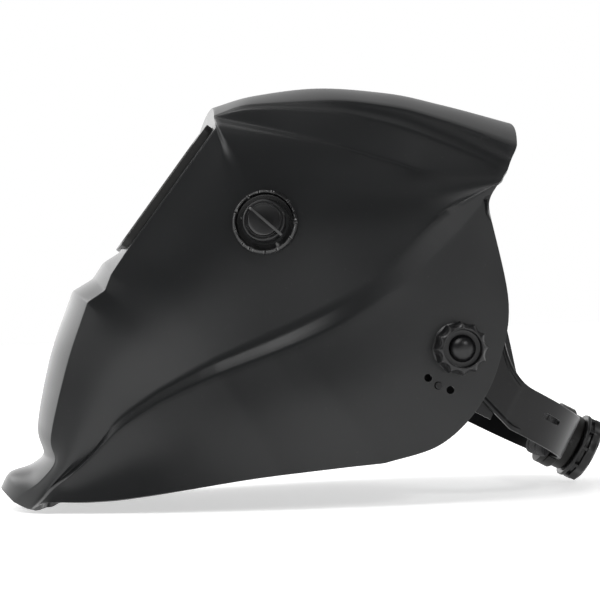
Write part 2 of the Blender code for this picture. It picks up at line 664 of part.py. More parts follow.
def build_pivots():
    for side, word in ((1, "left"), (-1, "right")):
        place = pivot_frame(side)
        build_tension_knob("tension_knob_" + word, place)
        nut = slab([circle(NUT_RADIUS, 6), circle(BOLT_RADIUS + GAP, 20)], 0.6, 6.2)
        add_piece("knob_nut_" + word, nut, "brass", place)
        head = LOOP_SIDE - PIVOT_FACE
        bolt = turned([(0, head - 2.8), (8.0, head - 2.8), (9.0, head - 1.8), (9.0, head - GAP),
                       (BOLT_RADIUS, head - GAP), (BOLT_RADIUS, 8.4), (BOLT_RADIUS - 0.6, 9.0),
                       (0, 9.0)], 28)
        add_piece("pivot_bolt_" + word, bolt, "steel", place)
        face = BOSS_FACE - PIVOT_FACE
        washer = slab([circle(BOSS_RADIUS, 32), circle(BOLT_RADIUS + GAP, 20)],
                      face + GAP, face + 1.4)
        add_piece("friction_washer_" + word, washer, "rubber", place)
        build_tilt_plate("tilt_limit_plate_" + word, side)


def build_tilt_plate(name, side):
    """Fixed to the shell by a peg in one of the three tilt holes; its stop halts the boss."""
    inner = PIVOT_FACE - PIVOT_PAD_DEPTH - GAP - 2.2
    disc = slab([circle(13.5, 32)], 0.0, 2.2)
    peg_angle = math.radians(TILT_HOLE_ANGLES[1])
    reach = TILT_HOLE_ORBIT + 5.0
    arm = slab([rounded_box(reach, 10.0, 4.5, (reach / 2, 0.0))], 0.0, 2.2)
    peg = shifted(slab([circle(TILT_HOLE_RADIUS - GAP, 12)], 0.0, 7.4), TILT_HOLE_ORBIT, 0.0, 1.0)
    stop_arm = slab([rounded_box(19.0, 6.0, 2.0, (9.5, 0.0))], 0.0, 2.2)
    stop = slab([rounded_box(3.2, 6.0, 1.0, (17.0, 0.0))], -4.0, 1.0)
    bore = slab([circle(BOLT_RADIUS + GAP, 20)], -1.0, 4.0)
    turn_peg = Matrix.Rotation(peg_angle, 4, "Z")
    turn_stop = Matrix.Rotation(math.radians(118.0), 4, "Z")
    adds = [moved(arm, turn_peg), moved(peg, turn_peg), moved(stop_arm, turn_stop),
            moved(stop, turn_stop)]
    plate = combine(disc, adds, [bore])
    if side < 0:
        plate = moved(plate, Matrix.Scale(-1.0, 4, (1.0, 0.0, 0.0)))
        turn = Matrix.Rotation(math.pi, 4, "Z")
        plate = moved(plate, turn)
    place = frame_from(Vector((side * inner, PIVOT.y, PIVOT.z)), (0.0, 1.0, 0.0), (side, 0.0, 0.0))
    add_piece(name, plate, "band_black", place)


# ---------------------------------------------------------------- headgear

def strip(path, lows, highs, thickness):
    """A bent strip: the path is its inner line in XY, with a low and a high edge at each point."""
    bm = bmesh.new()
    rings = []
    last = len(path) - 1
    for i, (x, y) in enumerate(path):
        ahead = Vector(path[min(i + 1, last)])
        behind = Vector(path[max(i - 1, 0)])
        along = (ahead - behind).normalized()
        out = Vector((along.y, -along.x)) * thickness
        rings.append([bm.verts.new((x, y, lows[i])), bm.verts.new((x, y, highs[i])),
                      bm.verts.new((x + out.x, y + out.y, highs[i])),
                      bm.verts.new((x + out.x, y + out.y, lows[i]))])
    for here, ahead in zip(rings, rings[1:]):
        for i in range(4):
            j = (i + 1) % 4
            bm.faces.new((here[i], here[j], ahead[j], ahead[i]))
    bm.faces.new(rings[0])
    bm.faces.new(rings[-1])
    return as_mesh(bm)


def quarter(centre, reach_x, reach_y, first, last, steps):
    """Points along an ellipse between two angles in degrees."""
    points = []
    for i in range(steps + 1):
        angle = math.radians(first + (last - first) * i / steps)
        points.append((centre[0] + reach_x * math.cos(angle), centre[1] + reach_y * math.sin(angle)))
    return points


def front_band_path(inset=0.0, first=0.0):
    """From the left ear round the forehead to the right ear, clockwise seen from above."""
    side = LOOP_SIDE - inset
    front = LOOP_FRONT + inset
    bend = -22.0
    left = [(side, y) for y in (BAND_END, 10.0, -3.0, -14.0)] if first == 0.0 else []
    left += quarter((22.0, bend), side - 22.0, bend - front, first, -90.0, 9)
    return left + [(-x, y) for x, y in reversed(left)]


def side_share(y):
    """How much of the side plate's shape the band has at that y: none past the temples."""
    share = min(1.0, max(0.0, (y + 62.0) / 36.0))
    return share * share * (3.0 - 2.0 * share)


def build_front_headband():
    path = list(reversed(front_band_path()))
    lows = [-BAND_HALF_WIDTH + (SIDE_FOOT + BAND_HALF_WIDTH) * side_share(y) for _, y in path]
    highs = [BAND_HALF_WIDTH + (SIDE_TOP - BAND_HALF_WIDTH) * side_share(y)
             - 9.0 * max(0.0, (y + 3.0) / (BAND_END + 3.0)) for _, y in path]
    band = strip(path, lows, highs, BAND_THICKNESS)
    loop = loop_frame()
    pivot = loop.inverted() @ PIVOT
    adds = []
    cuts = []
    for side in (1, -1):
        depth = BOSS_FACE - LOOP_SIDE - 0.6
        boss = slab([circle(BOSS_RADIUS, 32)], 0.0, depth)
        nib_turn = Matrix.Rotation(math.radians(150.0 + LOOP_PITCH), 4, "Z")
        nib = slab([rounded_box(8.0, 5.0, 1.0, (BOSS_RADIUS, 0.0))], depth - 4.0, depth)
        nib = moved(nib, nib_turn)
        for piece in (boss, nib):
            if side < 0:
                piece = moved(piece, Matrix.Scale(-1.0, 4, (0.0, 1.0, 0.0)))
            adds.append(along_x(piece, side, LOOP_SIDE + 0.6, pivot.y, pivot.z))
        bore = slab([circle(BOLT_RADIUS + GAP, 20)], -4.0, 20.0)
        cuts.append(along_x(bore, side, LOOP_SIDE, pivot.y, pivot.z))
        for height in RIVET_HEIGHTS:
            slot = slab([rounded_box(SLOT_LENGTH, SLOT_HEIGHT, 2.4)], -4.0, 5.0)
            cuts.append(along_x(slot, side, LOOP_SIDE, RIVET_PLACE, height))
    add_piece("front_headband", combine(band, adds, cuts), "band_black", loop)

    pad_path = list(reversed(front_band_path(inset=0.4, first=-12.0)))
    tall = [-19.0] * len(pad_path)
    pad = strip(pad_path, tall, [-low for low in tall], -5.0)
    add_piece("sweatband", pad, "sweatband", loop)


def strap_path(layer):
    """A rear strap's inner line from beside the ear to its tail past the middle."""
    rear = LOOP_REAR + layer
    path = [(STRAP_SIDE, y) for y in (STRAP_START, 11.0, 18.0, 25.0)]
    path += quarter((STRAP_TAIL, STRAP_BEND), STRAP_SIDE - STRAP_TAIL, rear - STRAP_BEND,
                    0.0, 90.0, 10)
    path.append((-STRAP_TAIL, rear))
    return path


def build_rear_strap(name, side, layer):
    path = strap_path(layer)
    lows = []
    highs = []
    for _, y in path:
        rise = max(0.0, (STRAP_BEND + 6.0 - y) / STRAP_BEND)
        highs.append(STRAP_HALF_WIDTH + STRAP_FLARE * rise * rise)
        lows.append(-STRAP_HALF_WIDTH + STRAP_LIFT * max(0.0, STRAP_BEND + 3.4 - y))
    strap = strip(path, lows, highs, BAND_THICKNESS)
    cuts = []
    for height in RIVET_HEIGHTS:
        hole = slab([circle(2.0 + GAP, 12)], -4.0, 6.0)
        cuts.append(along_x(hole, 1, STRAP_SIDE, RIVET_PLACE, height))
    rack_slot = slab([rounded_box(STRAP_TAIL * 2.0 + 8.0, 2 * PINION_RADIUS + 0.8, 2.0,
                                  (STRAP_TAIL / 2 - 4.0, 0.0))], -6.0, 8.0)
    rack_slot = moved(rack_slot, Matrix.Translation((0.0, LOOP_REAR, 0.0))
                      @ Matrix.Rotation(math.pi / 2, 4, "X"))
    cuts.append(rack_slot)
    mesh = combine(strap, cuts=cuts)
    if side < 0:
        mesh = moved(mesh, Matrix.Scale(-1.0, 4, (1.0, 0.0, 0.0)))
    add_piece(name, mesh, "band_black", loop_frame())


def build_rivets():
    """Guide rivets in the rear straps; their shanks slide in the side plates' slots."""
    for side, word in ((1, "left"), (-1, "right")):
        for height, level in zip(RIVET_HEIGHTS, ("lower", "upper")):
            rivet = turned([(0, 0.1), (2.0, 0.1), (2.0, 5.0), (3.6, 5.0), (3.2, 5.8), (0, 6.1)], 16)
            rivet = along_x(rivet, side, LOOP_SIDE, RIVET_PLACE, height)
            add_piece(f"strap_rivet_{word}_{level}", rivet, "knob_black", loop_frame())


def crown_frame():
    """X to the wearer's left, Y up along the crown strap, Z across its width."""
    lean = math.radians(CROWN_LEAN)
    up = Vector((0.0, -math.sin(lean), math.cos(lean)))
    across = Vector((1.0, 0.0, 0.0)).cross(up)
    return frame_from(CROWN_BASE, (1.0, 0.0, 0.0), across)


def build_crown():
    place = crown_frame()
    for name, side, layer in (("crown_strap_left", 1, 0.0), ("crown_strap_right", -1, 2.4)):
        path = [(CROWN_SIDE, -CROWN_TAIL), (CROWN_SIDE, -CROWN_TAIL / 2)]
        path += quarter((0.0, 0.0), CROWN_SIDE, CROWN_RISE + layer, 0.0, CROWN_REACH, 16)
        width = [CROWN_HALF_WIDTH] * len(path)
        strap = strip(path, [-w for w in width], width, BAND_THICKNESS)
        cuts = []
        for x in (-14.0, 0.0, 14.0):
            hole = slab([circle(2.2, 12, (x, 0.0))], -20.0, 20.0)
            cuts.append(moved(hole, Matrix.Translation((0.0, CROWN_RISE, 0.0))
                              @ Matrix.Rotation(math.pi / 2, 4, "X")))
        mesh = combine(strap, cuts=cuts)
        if side < 0:
            mesh = moved(mesh, Matrix.Scale(-1.0, 4, (1.0, 0.0, 0.0)))
        add_piece(name, mesh, "band_black", place)
    peg = turned([(0, -1.9), (4.0, -1.9), (4.0, -0.9), (1.8, -0.9), (1.8, 5.4), (0, 5.8)], 16)
    upright = Matrix.Translation((0.0, CROWN_RISE, 0.0)) @ Matrix.Rotation(-math.pi / 2, 4, "X")
    add_piece("crown_strap_peg", moved(peg, upright), "knob_black", place)


# ---------------------------------------------------------------- ratchet

def build_ratchet():
    """The flange holds the straps, the drum behind it holds the knob's bearing."""
    place = ratchet_frame()
    flange = slab([circle(RATCHET_FLANGE_RADIUS, 48)], -0.4, 6.2)
    drum = slab([circle(RATCHET_DRUM_RADIUS, 48)], 6.0, RATCHET_KNOB_FOOT - GAP)
    channel = slab([rounded_box(90.0, 2 * STRAP_HALF_WIDTH + 1.2, 0.5)], -2.0, 4.8)
    axle_hole = slab([circle(AXLE_RADIUS + 0.4, 20)], 0.0, RATCHET_KNOB_FOOT + 4.0)
    add_piece("ratchet_housing", combine(flange, [drum], [channel, axle_hole]), "housing_black",
              place)
    cover = slab([circle(RATCHET_FLANGE_RADIUS, 48)], -4.0, -0.7)
    add_piece("ratchet_cover", cover, "housing_black", place)
    pad = slab([rounded_box(54.0, 34.0, 8.0)], -10.2, -4.3)
    add_piece("rear_pad", pad, "sweatband", place)

    foot = RATCHET_KNOB_FOOT
    top = foot + RATCHET_KNOB_DEPTH
    grip = slab([scalloped(RATCHET_RADIUS, 0.9, 20, 3)], foot, top - 1.0)
    face = turned([(0, foot + 1.0), (18.6, foot + 1.0), (18.6, top - 0.6), (18.0, top),
                   (15.6, top), (15.2, top - 2.4), (0, top - 2.4)], 48)
    well = slab([circle(15.2, 48)], top - 2.4, top + 2.0)
    axle = slab([circle(AXLE_RADIUS, 20)], -0.1, foot + 1.0)
    add_piece("ratchet_knob", combine(grip, [face, axle], [well]), "knob_black", place)
    gear = scalloped(PINION_RADIUS, 1.1, PINION_TEETH, 4)
    pinion = slab([gear, circle(AXLE_RADIUS + GAP, 20)], -0.1, 4.5)
    add_piece("ratchet_pinion", pinion, "band_black", place)


def main():
    clear_scene()
    build_shell()
    build_lens_frame()
    build_holder()
    build_lens_stack()
    build_shade_control()
    build_pivots()
    build_front_headband()
    build_rear_strap("rear_strap_left", 1, 0.0)
    build_rear_strap("rear_strap_right", -1, STRAP_LAP)
    build_rivets()
    build_crown()
    build_ratchet()


main()
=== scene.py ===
"""Looks of an auto-darkening welding helmet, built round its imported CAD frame.

Lengths are millimetres in the frame of the part's own source, and each mesh is scaled to
metres when its piece is made. The helmet faces -Y, +Z is up and +X is the wearer's left.
"""
import json
import math

import bmesh
import bpy
import numpy as np
from mathutils import Matrix, Vector


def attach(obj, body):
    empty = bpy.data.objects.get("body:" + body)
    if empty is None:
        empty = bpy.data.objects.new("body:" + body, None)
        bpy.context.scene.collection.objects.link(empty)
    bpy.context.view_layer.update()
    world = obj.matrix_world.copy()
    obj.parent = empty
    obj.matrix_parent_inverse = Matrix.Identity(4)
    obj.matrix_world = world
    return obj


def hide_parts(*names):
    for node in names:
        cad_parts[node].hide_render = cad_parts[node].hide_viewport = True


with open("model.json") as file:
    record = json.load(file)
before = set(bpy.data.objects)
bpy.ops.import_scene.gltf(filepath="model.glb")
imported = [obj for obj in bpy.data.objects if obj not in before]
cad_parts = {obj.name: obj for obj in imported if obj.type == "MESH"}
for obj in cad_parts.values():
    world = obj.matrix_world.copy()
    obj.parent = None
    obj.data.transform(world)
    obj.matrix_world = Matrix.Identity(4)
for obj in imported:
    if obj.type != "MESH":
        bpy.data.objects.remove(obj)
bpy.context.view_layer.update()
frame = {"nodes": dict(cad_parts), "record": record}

MM = 0.001
TINY = 1e-6
FOOT = Vector((0.0, -0.015, -4.803))  # the row frame's origin, in the part's millimetres

# ------------ sizes

SHELL_WALL = 2.6
PIVOT = Vector((0.0, 78.0, 84.0))
PIVOT_FACE = 105.8
PIVOT_PAD_RADIUS = 15.0
PIVOT_PAD_DEPTH = 4.4
PIVOT_HOLE_RADIUS = 4.7
TILT_HOLE_RADIUS = 2.3
TILT_HOLE_ORBIT = 24.3
TILT_HOLE_ANGLES = (222.0, 239.5, 257.0)
CUT_DEPTH = 24.0  # the length of the holes' cutters, and half that of the window's
WINDOW_CENTRE = Vector((0.0, -82.0, 184.5))
WINDOW_LEAN = 37.7
WINDOW_SIZE = (118.0, 88.0)
SHADE_CENTRE = Vector((85.6, -28.0, 160.0))
SHADE_AXIS = Vector((0.962, -0.205, 0.180))
SHADE_PAD_RADIUS = 17.0
SHADE_PAD_RISE = 1.4
SHADE_HOLE_RADIUS = 3.9
SHADE_STEM_RADIUS = 1.9
SHADE_RING_RADIUS = 18.8
SHADE_RING_BORE = 13.6
SHADE_NOTCH_ANGLES = (38, 72, 98, 121, 158, 192, 222, 240, 268, 289, 322, 354)
SHADE_NOTCH_WIDTHS = (1.1, 0.8, 0.9, 2.2)  # taken in turn
SHADE_KNOB_RADIUS = 12.2
POINTER_TURN = -45.0
KNOB_RADIUS = 15.6
KNOB_HEIGHT = 15.5
KNOB_LOBES = 12
KNOB_LOBE_DEPTH = 1.7
KNOB_CORE_RADIUS = 12.2  # inside this the knob is round
LOOP_CENTRE = Vector((0.0, 85.4, 64.1))
LOOP_PITCH = 29.0
LOOP_SIDE = 84.0
LOOP_FRONT = -92.0
LOOP_REAR = 81.0
STRAP_SIDE = 86.7
STRAP_HALF_WIDTH = 13.5
STRAP_START = 4.5
STRAP_BEND = 32.0
STRAP_TAIL = 28.0
STRAP_FLARE = 22.0
STRAP_LIFT = 0.344
STRAP_LAP = 2.4
STRAP_RELIEF_END = 76.0
BAND_THICKNESS = 2.0
RATCHET_RADIUS = 20.8
RATCHET_KNOB_DEPTH = 11.0
RATCHET_KNOB_FOOT = 13.6
RATCHET_FLANGE_RADIUS = 20.0
RATCHET_DRUM_RADIUS = 17.8
RATCHET_FACETS = 10
RATCHET_CORE_RADIUS = 18.9  # inside this the knob is round
AXLE_RADIUS = 2.9
FOREHEAD_INSET = 0.4
FOREHEAD_CORNER = 22.0
FOREHEAD_BEND = -22.0
SWEATBAND_HALF_WIDTH = 19.0
SWEATBAND_CROWN = 4.9
STITCH_PITCH = 25.0
NAPE_PAD_SIZE = (54.0, 34.0, 5.9)
NAPE_PAD_BACK = -4.3


def beside(line, other, share, count=11):
    """The line's first points, moved a little toward another line."""
    return [tuple(a + (b - a) * share for a, b in zip(p, q)) for p, q in zip(line[:count], other)]


# The shell's lines: one point at each of 17 stations, from the chin lip over the face and the
# crown to the back: lip edge, lip crest, lip, throat, nose foot, nose, nose top, sill,
# sill crest, window foot, window head, brow, and five along the crown.
CENTRE_LINE = [
    (0, -187, 8.6), (0, -181.6, 17.2), (0, -168, 21.6), (0, -160.5, 29), (0, -163.6, 43),
    (0, -155.6, 82.5), (0, -139.5, 125.6), (0, -127, 132.6), (0, -120.2, 142.2),
    (0, -110.6, 147.8), (0, -53.6, 221.8), (0, -51.8, 233.5), (0, -26, 240.2), (0, 12.5, 244),
    (0, 55, 240), (0, 90.5, 231.4), (0, 130, 219.6),
]
FACE_EDGE = [
    (27, -179, 1.2), (31.5, -172.5, 6.8), (38, -163, 14), (45, -153.6, 27), (45, -155.8, 38),
    (49, -144.7, 82), (57, -131.3, 118.5), (59, -121, 125), (60.5, -117, 134.4),
    (62, -108.3, 146.6), (64, -52.8, 217.8), (64, -54, 224.6), (64, -31.7, 230.5),
    (66, 12, 231.3), (69, 52, 226), (74, 80, 217), (86, 121, 199.5),
]
PANEL_LINE = [
    (36.5, -170.8, -2.2), (40, -165, 3), (43.6, -157.6, 10.6), (50.5, -148, 21), (53.5, -142, 32.5),
    (59, -128, 63), (68.5, -109, 90), (72.5, -96, 99), (75, -88.5, 106), (78, -79, 114),
    (84, -37, 155), (86, -28, 160), (90.5, -8, 161), (95, 20, 163), (99, 47, 166),
    (100, 73, 174), (97, 108.5, 179.5),
]
# Up to the window's head the side panel starts right at the face's edge
LEDGE_FOOT = beside(FACE_EDGE, PANEL_LINE, 0.015) + [
    (64.5, -53.8, 224.1), (67.5, -30, 228), (71, 10.5, 225.2), (77, 49, 215.8), (82, 75, 205.2),
    (91, 114, 186),
]
BROW_TOP = beside(FACE_EDGE, PANEL_LINE, 0.03) + [
    (64.9, -53.6, 223.7), (71.8, -23.1, 215.7), (79.5, 13.2, 205.3), (85.6, 47.2, 193.9),
    (90.5, 74, 185), (94.6, 110.6, 182.5),
]
BROW_LINE = beside(FACE_EDGE, PANEL_LINE, 0.045) + [
    (69, -52.2, 218.7), (75.5, -21.5, 212), (81.5, 13.5, 203.3), (87.5, 47, 192), (91.5, 74, 184),
    (95, 110.5, 182),
]
SWOOSH_TOP = [
    (38.5, -168.8, -2.2), (41.2, -163.2, 3.2), (43.8, -156, 11.6), (47, -148, 18), (51, -134, 29),
    (60.5, -116.5, 50), (68, -94.5, 65.5), (74, -77.5, 74.5), (76.8, -69.5, 78.4),
    (79.5, -60.4, 82.6), (87, -30.6, 93.6), (89.3, -18.6, 98.5), (92.5, 0, 107.5), (98, 24, 121),
    (102, 48, 139.5), (103, 73, 164), (98, 106.5, 177.5),
]
SWOOSH_FOOT = [
    (41, -166.8, -1.6), (43.5, -161.5, 3), (46.4, -154.6, 10), (51, -146.6, 16), (56.5, -133.3, 28),
    (64, -115.3, 44.5), (72, -93.3, 59), (78.5, -76.3, 67), (81.5, -68.3, 70.4), (84.5, -59.3, 74),
    (92.5, -29.2, 84.5), (95, -17.1, 89), (98, 2, 96.5), (101, 26, 108.5), (103, 52, 125.5),
    (102, 78, 148), (98, 104, 174),
]
CHEEK_LINE = [
    (43.5, -164, 0), (46.3, -158, 2.6), (49.4, -151.2, 5.6), (53, -142.5, 9), (59, -127, 16),
    (67, -106.5, 25.5), (77, -83, 34.5), (85, -62, 40), (88.5, -51.5, 42.4), (92, -40, 45),
    (99, -8, 52), (102, 8, 55), (104.2, 32, 62), (105, 56, 77), (105, 77, 99),
    (103.9, 92.6, 127), (98.6, 101, 170),
]
RIM_LINE = [
    (46, -160.5, 1.5), (48.5, -154.5, 1.9), (52, -148.1, 2), (56.5, -139.3, 2), (64.5, -122.5, 2.8),
    (74, -100.6, 5.4), (83, -74.5, 9), (89.5, -50.3, 12.4), (92.5, -37.7, 14), (95.6, -24.2, 15.4),
    (101, 12, 18.5), (104, 33, 20), (105.2, 62, 27.5), (105.6, 86, 46.5), (105.4, 101, 73),
    (104.5, 108.6, 108), (99, 99.5, 167.5),
]
# The stations between which each line runs smoothly, and its rows per station
RUNS = ((0, 6, 7), (6, 7, 3), (7, 8, 3), (8, 9, 3), (9, 10, 14), (10, 11, 3), (11, 16, 9))
BROW_FADE_ROW = 112  # from this row on, the brow crease fades into the panel
BROW_FADE_ROWS = 14.0
PANEL_PASSES, CHEEK_PASSES, FADE_PASSES = 40, 12, 60
FACE_COLUMNS = 13
FACE_LAST_COLUMN = 12.72  # one more, close to the edge
FACE_BEND = 2.4  # the face is flat in the middle and falls to its edge
LEDGE_HOLLOW = 0.16
CORNER_INSET = 1.1  # the rows beside a corner lie this far from it
SHELL_HEART = (0.0, 0.0, 110.0)


# ------------ mesh tools

def as_mesh(bm):
    bmesh.ops.recalc_face_normals(bm, faces=bm.faces[:])
    mesh = bpy.data.meshes.new("piece")
    bm.to_mesh(mesh)
    bm.free()
    return mesh


def circle(radius, count):
    angles = [2.0 * math.pi * i / count for i in range(count)]
    return [(radius * math.cos(angle), radius * math.sin(angle)) for angle in angles]


def rounded_box(width, height, radius, centre=(0.0, 0.0), steps=6):
    points = []
    for side_x, side_y, first in ((1, 1, 0), (-1, 1, 90), (-1, -1, 180), (1, -1, 270)):
        cx = centre[0] + side_x * (width / 2 - radius)
        cy = centre[1] + side_y * (height / 2 - radius)
        for i in range(steps + 1):
            angle = math.radians(first + 90.0 * i / steps)
            points.append((cx + radius * math.cos(angle), cy + radius * math.sin(angle)))
    return points


def slab(outline, low, high):
    """Extrude an outline from one height to another."""
    bm = bmesh.new()
    verts = [bm.verts.new((x, y, low)) for x, y in outline]
    edges = [bm.edges.new((vert, verts[(i + 1) % len(verts)])) for i, vert in enumerate(verts)]
    bmesh.ops.triangle_fill(bm, edges=edges, use_beauty=True)
    grown = bmesh.ops.extrude_face_region(bm, geom=bm.faces[:])
    raised = [item for item in grown["geom"] if isinstance(item, bmesh.types.BMVert)]
    bmesh.ops.translate(bm, verts=raised, vec=(0.0, 0.0, high - low))
    return as_mesh(bm)


def spun(profile, count, shape=None):
    """Turn a closed (radius, height) outline about Z. shape(radius, height, angle) may bend it."""
    bm = bmesh.new()
    rings = []
    for radius, height in profile:
        if radius < TINY:
            rings.append([bm.verts.new((0.0, 0.0, height))])
            continue
        ring = []
        for i in range(count):
            angle = 2.0 * math.pi * i / count
            r, h = (radius, height) if shape is None else shape(radius, height, angle)
            ring.append(bm.verts.new((r * math.cos(angle), r * math.sin(angle), h)))
        rings.append(ring)
    for lower, upper in zip(rings, rings[1:] + rings[:1]):
        if len(lower) == 1 and len(upper) == 1:
            continue
        for i in range(count):
            j = (i + 1) % count
            face = []
            for vert in (lower[i % len(lower)], lower[j % len(lower)],
                         upper[j % len(upper)], upper[i % len(upper)]):
                if vert not in face:
                    face.append(vert)
            bm.faces.new(face)
    return as_mesh(bm)


def rounded(profile):
    """The same outline, with a curve at each corner that has a radius as its third number."""
    steps = 3
    result = []
    for i, corner in enumerate(profile):
        here = Vector(corner[:2])
        if len(corner) < 3:
            result.append((here.x, here.y))
            continue
        back = Vector(profile[i - 1][:2]) - here
        ahead = Vector(profile[(i + 1) % len(profile)][:2]) - here
        reach = min(corner[2], 0.45 * back.length, 0.45 * ahead.length)
        start = here + back.normalized() * reach
        end = here + ahead.normalized() * reach
        for k in range(steps + 1):
            t = k / steps
            point = (1 - t) ** 2 * start + 2 * t * (1 - t) * here + t * t * end
            result.append((point.x, point.y))
    return result


def lofted(sections):
    """A solid through closed sections of points, with a face at each end."""
    bm = bmesh.new()
    rings = [[bm.verts.new(point) for point in section] for section in sections]
    for here, ahead in zip(rings, rings[1:]):
        for i, vert in enumerate(here):
            j = (i + 1) % len(here)
            bm.faces.new((vert, here[j], ahead[j], ahead[i]))
    bm.faces.new(rings[0])
    bm.faces.new(rings[-1])
    return as_mesh(bm)


def closed_to(bm, base):
    """Close an open surface with a wall from its border to a flat base at this height."""
    grown = bmesh.ops.extrude_edge_only(bm, edges=[e for e in bm.edges if e.is_boundary])
    for item in grown["geom"]:
        if isinstance(item, bmesh.types.BMVert):
            item.co.z = base
    bmesh.ops.holes_fill(bm, edges=[e for e in bm.edges if e.is_boundary], sides=0)
    return as_mesh(bm)


def joined(meshes):
    bm = bmesh.new()
    for mesh in meshes:
        bm.from_mesh(mesh)
    return as_mesh(bm)


def moved(mesh, matrix):
    mesh.transform(matrix)
    if matrix.determinant() < 0.0:
        mesh.flip_normals()
    return mesh


def frame_from(origin, x_axis, z_axis):
    z = Vector(z_axis).normalized()
    y = z.cross(Vector(x_axis)).normalized()
    x = y.cross(z)
    matrix = Matrix((x, y, z)).transposed().to_4x4()
    matrix.translation = origin
    return matrix


def placed(name, data):
    """A new object of the scene with this mesh, light or camera."""
    made = bpy.data.objects.new(name, data)
    bpy.context.scene.collection.objects.link(made)
    return made


def combine(base, adds=(), cuts=()):
    """The base mesh with some meshes added to it and others cut out of it."""
    holder = placed("combining", base)
    tools = []
    for operation, meshes in (("UNION", adds), ("DIFFERENCE", cuts)):
        for mesh in meshes:
            tool = placed("combining_tool", mesh)
            step = holder.modifiers.new(operation.lower(), "BOOLEAN")
            step.operation = operation
            step.solver = "EXACT"
            step.object = tool
            tools.append(tool)
    bpy.context.view_layer.update()
    graph = bpy.context.evaluated_depsgraph_get()
    result = bpy.data.meshes.new_from_object(holder.evaluated_get(graph))
    for used in (holder, *tools):
        bpy.data.objects.remove(used, do_unlink=True)
    return result


def piece(name, mesh, body, material, replaces, place=None, sharp=40.0):
    """Make a piece that rides on a body: the mesh comes in millimetres, in its place's axes."""
    if place is not None:
        moved(mesh, place)
    mesh.transform(Matrix.Translation(-FOOT))
    mesh.transform(Matrix.Scale(MM, 4))
    mesh.materials.clear()
    mesh.materials.append(material)
    mesh.shade_smooth()
    mesh.set_sharp_from_angle(angle=math.radians(sharp))
    made = placed(name, mesh)
    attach(made, body)
    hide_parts(*replaces)
    return made


def soften(thing, width):
    """Round a CAD node's edges, and let its flat faces keep their shading."""
    weld = thing.modifiers.new("joined", "WELD")
    weld.merge_threshold = 0.00002
    rounding = thing.modifiers.new("rounded_edges", "BEVEL")
    rounding.width = width * MM
    rounding.segments = 2
    rounding.limit_method = "ANGLE"
    rounding.angle_limit = math.radians(38.0)
    rounding.harden_normals = False
    shading = thing.modifiers.new("even_shading", "WEIGHTED_NORMAL")
    shading.keep_sharp = False
    shading.weight = 80


# ------------ placements

def window_frame():
    lean = math.radians(WINDOW_LEAN)
    return frame_from(WINDOW_CENTRE, (1, 0, 0), (0.0, -math.cos(lean), math.sin(lean)))


def shade_frame():
    return frame_from(SHADE_CENTRE, (0, 1, 0), SHADE_AXIS)


def pivot_frame(side):
    return frame_from(Vector((side * PIVOT_FACE, PIVOT.y, PIVOT.z)), (0, 1, 0), (side, 0, 0))


def loop_frame():
    pitch = math.radians(LOOP_PITCH)
    return frame_from(LOOP_CENTRE, (1, 0, 0), (0.0, math.sin(pitch), math.cos(pitch)))


def ratchet_frame():
    loop = loop_frame()
    backward = loop.to_3x3() @ Vector((0, 1, 0))
    return frame_from(loop @ Vector((0, LOOP_REAR, 0)), (1, 0, 0), backward)


# ------------ materials

class Tree:
    """A node tree with short calls to add to it."""

    def __init__(self, tree):
        self.tree = tree

    def add(self, kind, **settings):
        """A new node. A setting names one of its inputs, or with _ first a property."""
        node = self.tree.nodes.new(kind)
        for key, value in settings.items():
            if key[0] == "_":
                setattr(node, key[1:], value)
            else:
                self.put(value, node.inputs[key.replace("_", " ")])
        return node

    def link(self, out, socket):
        self.tree.links.new(out, socket)

    def put(self, value, socket):
        """Link an output to a socket, or set the socket itself to a plain value."""
        if isinstance(value, bpy.types.NodeSocket):
            self.link(value, socket)
        else:
            socket.default_value = value

    def ranged(self, value, low, high, to_low, to_high, ease="LINEAR"):
        node = self.add("ShaderNodeMapRange", _interpolation_type=ease)
        for socket, number in zip(node.inputs[1:5], (low, high, to_low, to_high)):
            socket.default_value = number
        self.link(value, node.inputs[0])
        return node.outputs[0]

    def math(self, operation, a, b):
        node = self.add("ShaderNodeMath", _operation=operation)
        self.put(a, node.inputs[0])
        self.put(b, node.inputs[1])
        return node.outputs["Value"]


class Nodes(Tree):
    """A material's node tree, built round its shader."""

    def __init__(self, name):
        self.material = bpy.data.materials.new(name)
        self.material.use_nodes = True
        super().__init__(self.material.node_tree)
        self.shader = self.tree.nodes["Principled BSDF"]
        self.coords = self.add("ShaderNodeTexCoord").outputs["Object"]

    def give(self, **values):
        """Give the shader's own sockets a plain value or a link each."""
        for name, value in values.items():
            self.put(value, self.shader.inputs[name.replace("_", " ")])

    def noise(self, scale, detail=3.0, roughness=0.6, stretch=None):
        source = self.coords
        if stretch is not None:
            source = self.add("ShaderNodeMapping", Vector=source, Scale=stretch).outputs["Vector"]
        return self.add("ShaderNodeTexNoise", Vector=source, Scale=scale, Detail=detail,
                        Roughness=roughness).outputs["Fac"]

    def voronoi(self, scale):
        node = self.add("ShaderNodeTexVoronoi", Vector=self.coords, Scale=scale)
        return node.outputs["Distance"]

    def mix(self, factor, first, second):
        node = self.add("ShaderNodeMix", _data_type="RGBA")
        self.link(factor, node.inputs["Factor"])
        for socket, value in ((node.inputs[6], first), (node.inputs[7], second)):
            self.put((*value, 1.0) if isinstance(value, tuple) else value, socket)
        return node.outputs[2]

    def bump(self, height, strength, distance, after=None):
        node = self.add("ShaderNodeBump", Height=height, Strength=strength, Distance=distance)
        if after is not None:
            self.link(after, node.inputs["Normal"])
        return node.outputs["Normal"]

    def edges(self):
        """High on convex edges: rubbed wear on most plastics, and on the bezel a painted highlight.
        """
        point = self.add("ShaderNodeNewGeometry").outputs["Pointiness"]
        return self.ranged(point, 0.52, 0.60, 0.0, 1.0)


